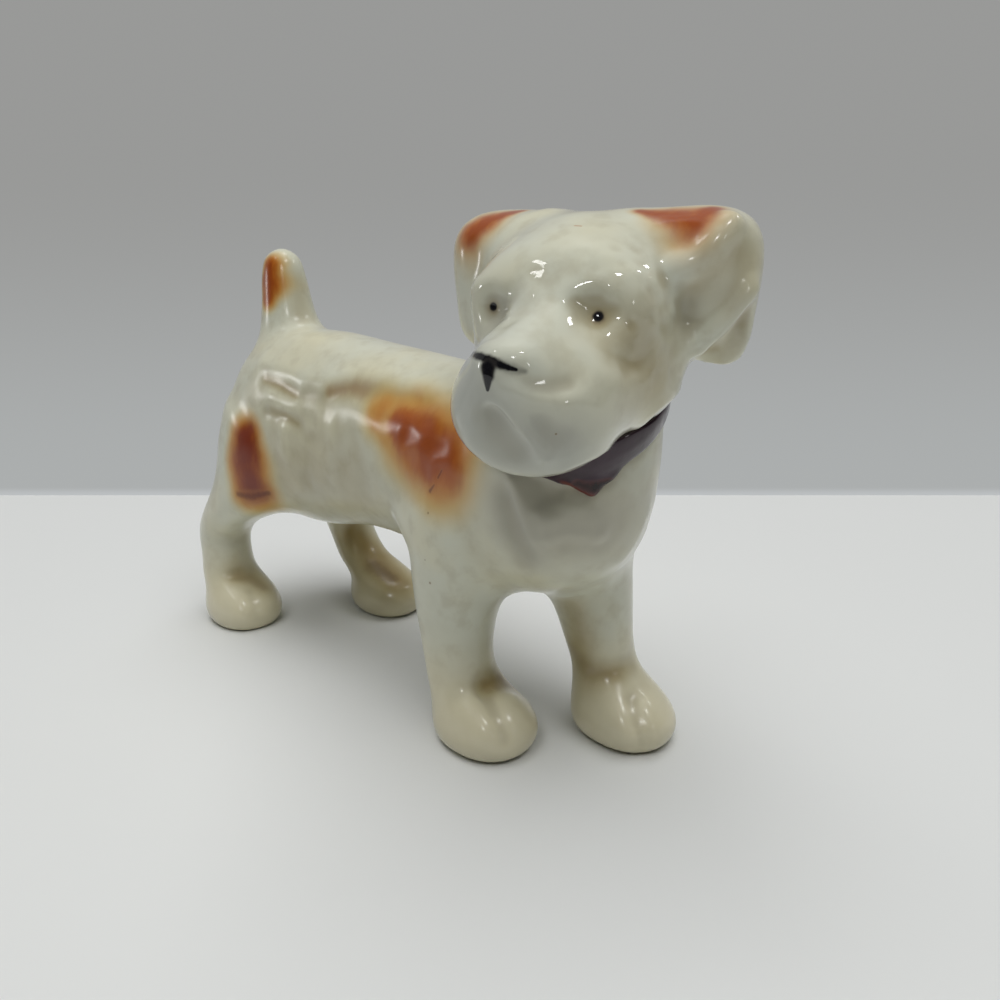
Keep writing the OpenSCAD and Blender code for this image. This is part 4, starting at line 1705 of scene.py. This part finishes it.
@dataclass
class Collar:
    """Raised collar with a point in front, in dark purple glaze over the white one.

    Args:
        node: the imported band.
        pitch: distance between neighbouring values of its block.
        band: the largest distance that is kept.
        margin: room round the band in its block.
        rounding: wipes that round its edges.
        fullness: how much fuller the glaze makes it.
        inlaid: how far the clay moves in under it.
        inlay_reach: distance from it at which most of that press has faded.
        strokes: strokes of the modelling tool.
        marks: brush marks.
    """

    node: str = "collar"
    pitch: float = 0.16
    band: float = 1.2
    margin: float = 2.0
    rounding: int = 4
    fullness: float = 0.10
    inlaid: float = 0.42
    inlay_reach: float = 0.7
    strokes: tuple[Stroke, ...] = (
        Stroke(((588, 486), (592, 493)), 1.0, 1.15, LAY_ON),
        Stroke(((606, 482), (630, 465), (648, 445)), 0.8, 0.30, LAY_ON),
        Stroke(((544, 482), (548, 486)), 0.8, 0.60, PRESS),
        Stroke(((668, 412), (650, 436), (632, 452), (612, 462)), 0.5, 0.16, PRESS),
    )
    marks: tuple[Mark, ...] = (
        Mark(((560, 476, 0.35), (576, 488, 0.4), (591, 497, 0.5)), RED_EDGE, 0.5, strength=0.85),
        Mark(((576, 480, 0.55), (593, 485, 0.8), (608, 480, 0.5)), MAROON, 0.4, 0.5),
    )

    def dress(self, shop: Workshop, frame: dict) -> bpy.types.Object:
        """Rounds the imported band, as glaze does, and sets it in the frame.

        Args:
            shop: the workshop.
            frame: the loaded frame.

        Returns:
            The collar.
        """
        low, high = (np.array(corner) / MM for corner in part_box(self.node))
        low = low - self.margin
        shape = tuple(np.ceil((high + self.margin - low) / self.pitch).astype(int))
        band = Clay.pressed(frame["nodes"][self.node], low, shape, self.pitch, self.band)
        band.soften(self.rounding)
        band.depth -= self.fullness
        for stroke in self.strokes:
            band.work(shop.over(stroke.way), stroke.width, stroke.depth * stroke.tool.value)
        skin = Skin(band)
        cut = skin.cut(np.zeros(len(skin.quads), int))[0]
        piece = mesh_object(f"{self.node}_glazed", cut)
        laid = shop.all_laid(self.marks)
        finish = AUBERGINE.material(shop.effects, laid, f"{self.node}_finish")
        piece.data.materials.append(finish)
        set_in_frame(piece, self.node)
        return piece


# ---------------------------------------------------------------- the whole dog


@dataclass
class Dog:
    """The figurine: its sub-assemblies, and the clay that they share."""

    pitch: float = 0.3
    band: float = 4.2
    margin: float = 3.0
    wipes: int = 9
    torso: Torso = field(default_factory=Torso)
    tail: Tail = field(default_factory=Tail)
    forelegs: Forelegs = field(default_factory=Forelegs)
    hindlegs: Hindlegs = field(default_factory=Hindlegs)
    head: Head = field(default_factory=Head)
    ears: Ears = field(default_factory=Ears)
    collar: Collar = field(default_factory=Collar)

    def parts(self) -> list[Part]:
        """Returns the sub-assemblies that share the white skin."""
        return [self.torso, self.tail, self.forelegs, self.hindlegs, self.head, self.ears]

    def join(self, raw: dict[str, Clay]) -> Clay:
        """Lutes the raw pieces together and wipes the joins.

        Args:
            raw: the raw pieces by node name.

        Returns:
            The joined clay.
        """
        body = raw["torso"].copy()
        for part in (self.tail, self.forelegs, self.hindlegs):
            for node in part.nodes:
                body.lute(raw[node], part.softness)
        head = raw["head"].copy()
        for node in self.ears.nodes:
            head.lute(raw[node], self.ears.softness)
        return body.lute(head, self.head.softness).soften(self.wipes)

    def make(self, frame: dict, eye: PhotoEye) -> None:
        """Makes every piece of the figurine.

        Args:
            frame: the loaded frame.
            eye: the photograph's eye.
        """
        nodes = [node for part in self.parts() for node in part.nodes]
        boxes = [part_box(node) for node in nodes]
        low = np.min([b[0] for b in boxes], 0) / MM - self.margin
        high = np.max([b[1] for b in boxes], 0) / MM + self.margin
        shape = tuple(np.ceil((high - low) / self.pitch).astype(int))
        raw = {n: Clay.pressed(frame["nodes"][n], low, shape, self.pitch, self.band) for n in nodes}
        LOG.info("pressed %d pieces into a block of %s", len(nodes), shape)
        shop = Workshop(eye, self.join(raw), Effects())
        for part in self.parts():
            part.model(shop)
            LOG.info("worked %s with %d strokes", part.nodes[0], len(part.strokes))
        band = Clay.pressed(frame["nodes"][self.collar.node], low, shape, self.pitch, self.band)
        shop.clay.make_room(band, self.collar.inlaid, self.collar.inlay_reach)
        shop.clay.soften(1).stand_on(0.0)
        skin = Skin(shop.clay)
        owner = skin.share_out([raw[n] for n in nodes])
        cuts = {nodes[n]: cut for n, cut in skin.cut(owner).items()}
        LOG.info("skin of %d faces, cut into %d pieces", len(skin.quads), len(cuts))
        for part in self.parts():
            for piece in part.dress(shop, cuts):
                LOG.info("piece %s: %d faces", piece.name, len(piece.data.polygons))
        piece = self.collar.dress(shop, frame)
        LOG.info("piece %s: %d faces", piece.name, len(piece.data.polygons))


# ---------------------------------------------------------------- studio


class Use(Enum):
    """What a lamp of the studio is for."""

    FILLS = "lights the dog and the table, and isn't mirrored"
    GLINTS = "is mirrored by the glaze only"


@dataclass(frozen=True)
class Lamp:
    """An area light that points at the dog.

    Args:
        name: the light's name.
        place: where it hangs, in metres.
        width: its width in metres.
        height: its height in metres.
        watts: its power.
        use: what it is for.
    """

    name: str
    place: Point
    width: float
    height: float
    watts: float
    use: Use = Use.GLINTS

    def hang(self, target: Point) -> None:
        """Hangs the lamp.

        Args:
            target: what it points at, in metres.
        """
        lamp = bpy.data.lights.new(self.name, "AREA")
        lamp.shape, lamp.size, lamp.size_y = "RECTANGLE", self.width, self.height
        lamp.energy = self.watts
        made = bpy.data.objects.new(self.name, lamp)
        made.visible_camera = False
        made.visible_glossy = self.use is Use.GLINTS
        made.visible_diffuse = self.use is Use.FILLS
        made.location = self.place
        ray = Vector(target) - Vector(self.place)
        made.rotation_euler = ray.to_track_quat("-Z", "Y").to_euler()
        bpy.context.scene.collection.objects.link(made)


@dataclass
class Studio:
    """Pale table, grey wall behind it, light from above, and small lamps that the glaze mirrors.

    Args:
        wall_away: how far the wall stands from the eye.
        wall_half: half the wall's width.
        wall_rise: the wall's height.
        wall_foot: the wall's glow just above the table, painted light that is brightest there.
        wall_low: its glow above that, painted light that is darker than at the foot.
        wall_high: its glow at the height of the dog's head and above, painted light that is
            darkest.
        foot_top: height in mm up to which the foot's colour fades.
        fade_from: height in mm at which the low colour starts to fade.
        fade_to: height in mm at which the high colour is full.
        table: the table's colour.
        table_half: half the table's width.
        table_drop: how far the table lies below the dog's soles.
        table_roughness: the table's roughness.
        table_specular: how much the table mirrors.
        sky: strength of the light from all round.
        sky_colour: its colour.
        far_wall: strength of what the camera sees past the table and the wall.
        target: what the lamps point at.
        lamps: the lamps.
    """

    wall_away: float = 0.173
    wall_half: float = 1.5
    wall_rise: float = 1.2
    wall_foot: Colour = (0.50, 0.52, 0.53)
    wall_low: Colour = (0.41, 0.425, 0.425)
    wall_high: Colour = (0.318, 0.320, 0.314)
    foot_top: float = 2.2
    fade_from: float = 2.0
    fade_to: float = 75.0
    table: Colour = (0.725, 0.737, 0.725)
    table_half: float = 0.65
    table_drop: float = 0.00003
    table_roughness: float = 0.75
    table_specular: float = 0.25
    sky: float = 0.025
    sky_colour: Colour = (0.95, 0.98, 1.0)
    far_wall: float = 0.36
    target: Point = (0.0, 0.0, 0.03)
    lamps: tuple[Lamp, ...] = (
        Lamp("ceiling", (0.07, -0.06, 1.0), 1.15, 1.15, 12.9, Use.FILLS),
        Lamp("tube_lamp", (0.285, -0.024, 0.479), 0.09, 0.05, 0.34),
        Lamp("panel", (-0.0735, 0.119, 0.570), 0.13, 0.07, 0.48),
        Lamp("window", (-0.369, -0.238, 0.104), 0.04, 0.05, 0.08),
        Lamp("side_window", (-0.142, -0.205, 0.414), 0.05, 0.04, 0.060),
        Lamp("front_window", (0.25, -0.28, 0.29), 0.055, 0.045, 0.20),
        Lamp("wall_lamp", (0.132, 0.220, 0.271), 0.03, 0.025, 0.05),
        Lamp("low_lamp", (0.412, -0.056, 0.147), 0.03, 0.04, 0.04),
    )

    def build(self, eye: PhotoEye) -> None:
        """Builds the studio.

        Args:
            eye: the photograph's eye, behind whose subject the wall stands.
        """
        self.lay_table()
        self.put_wall(eye)
        world = bpy.data.worlds.new("studio")
        world.use_nodes = True
        back = world.node_tree.nodes["Background"]
        sheet = Sheet(world.node_tree)
        sheet.feed(back.inputs["Color"], self.sky_colour)
        seen = sheet.node("ShaderNodeLightPath").outputs["Is Camera Ray"]
        strength = sheet.sum("MULTIPLY_ADD", seen, self.far_wall - self.sky, self.sky)
        sheet.feed(back.inputs["Strength"], strength)
        bpy.context.scene.world = world
        for lamp in self.lamps:
            lamp.hang(self.target)
        LOG.info("studio with %d lamps", len(self.lamps))
        bpy.context.scene.view_settings.view_transform = "Standard"

    @staticmethod
    def flat_sheet(name: str, corners: list[Point]) -> bpy.types.Object:
        """Makes a flat sheet that isn't part of the object.

        Args:
            name: the sheet's name.
            corners: its four corners in metres, in order.

        Returns:
            The sheet.
        """
        mesh = bpy.data.meshes.new(name)
        mesh.from_pydata(corners, [], [(0, 1, 2, 3)])
        made = bpy.data.objects.new(name, mesh)
        bpy.context.scene.collection.objects.link(made)
        return made

    def lay_table(self) -> None:
        """Lays the table that the dog stands on."""
        r, z = self.table_half, -self.table_drop
        table = self.flat_sheet("table", [(-r, -r, z), (r, -r, z), (r, r, z), (-r, r, z)])
        finish = bpy.data.materials.new("table_finish")
        finish.use_nodes = True
        shader = finish.node_tree.nodes["Principled BSDF"]
        shader.inputs["Base Color"].default_value = (*self.table, 1.0)
        shader.inputs["Roughness"].default_value = self.table_roughness
        shader.inputs["Specular IOR Level"].default_value = self.table_specular
        table.data.materials.append(finish)

    def put_wall(self, eye: PhotoEye) -> None:
        """Puts the wall behind the dog. It shows from its front only, and takes no light away.

        Args:
            eye: the photograph's eye.
        """
        turn = math.radians(eye.azimuth)
        ahead = Vector((-math.sin(turn), math.cos(turn), 0))
        right = Vector((math.cos(turn), math.sin(turn), 0))
        foot = Vector((eye.place[0], eye.place[1], 0)) * MM + ahead * self.wall_away
        up = Vector((0, 0, self.wall_rise))
        a, b = foot - right * self.wall_half, foot + right * self.wall_half
        wall = self.flat_sheet("wall", [tuple(a), tuple(b), tuple(b + up), tuple(a + up)])
        wall.visible_shadow = wall.visible_diffuse = False
        finish = bpy.data.materials.new("wall_finish")
        finish.use_nodes = True
        sheet = Sheet(finish.node_tree)
        finish.node_tree.nodes.remove(finish.node_tree.nodes["Principled BSDF"])
        split = sheet.node("ShaderNodeSeparateXYZ")
        sheet.feed(split.inputs[0], sheet.place())
        # The wall glows with painted light, brightest just above the table and darker higher up
        above_foot = sheet.ease(split.outputs["Z"], 0.0, self.foot_top)
        high_share = sheet.ease(split.outputs["Z"], self.fade_from, self.fade_to)
        colour = sheet.blend(high_share, self.wall_low, self.wall_high)
        colour = sheet.blend(above_foot, self.wall_foot, colour)
        front = sheet.node("ShaderNodeEmission")
        sheet.feed(front.inputs["Color"], colour)
        mixed = sheet.node("ShaderNodeMixShader")
        sheet.feed(mixed.inputs[0], sheet.node("ShaderNodeNewGeometry").outputs["Backfacing"])
        sheet.feed(mixed.inputs[1], front.outputs[0])
        sheet.feed(mixed.inputs[2], sheet.node("ShaderNodeBsdfTransparent").outputs[0])
        sheet.feed(finish.node_tree.nodes["Material Output"].inputs["Surface"], mixed.outputs[0])
        wall.data.materials.append(finish)


def main() -> None:
    """Builds the figurine around the frame, and the studio round it."""
    logging.basicConfig(level=logging.INFO, format="%(name)s %(message)s")
    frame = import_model()
    eye = PhotoEye()
    eye.camera()
    Dog().make(frame, eye)
    Studio().build(eye)


if __name__ == "__main__":
    main()
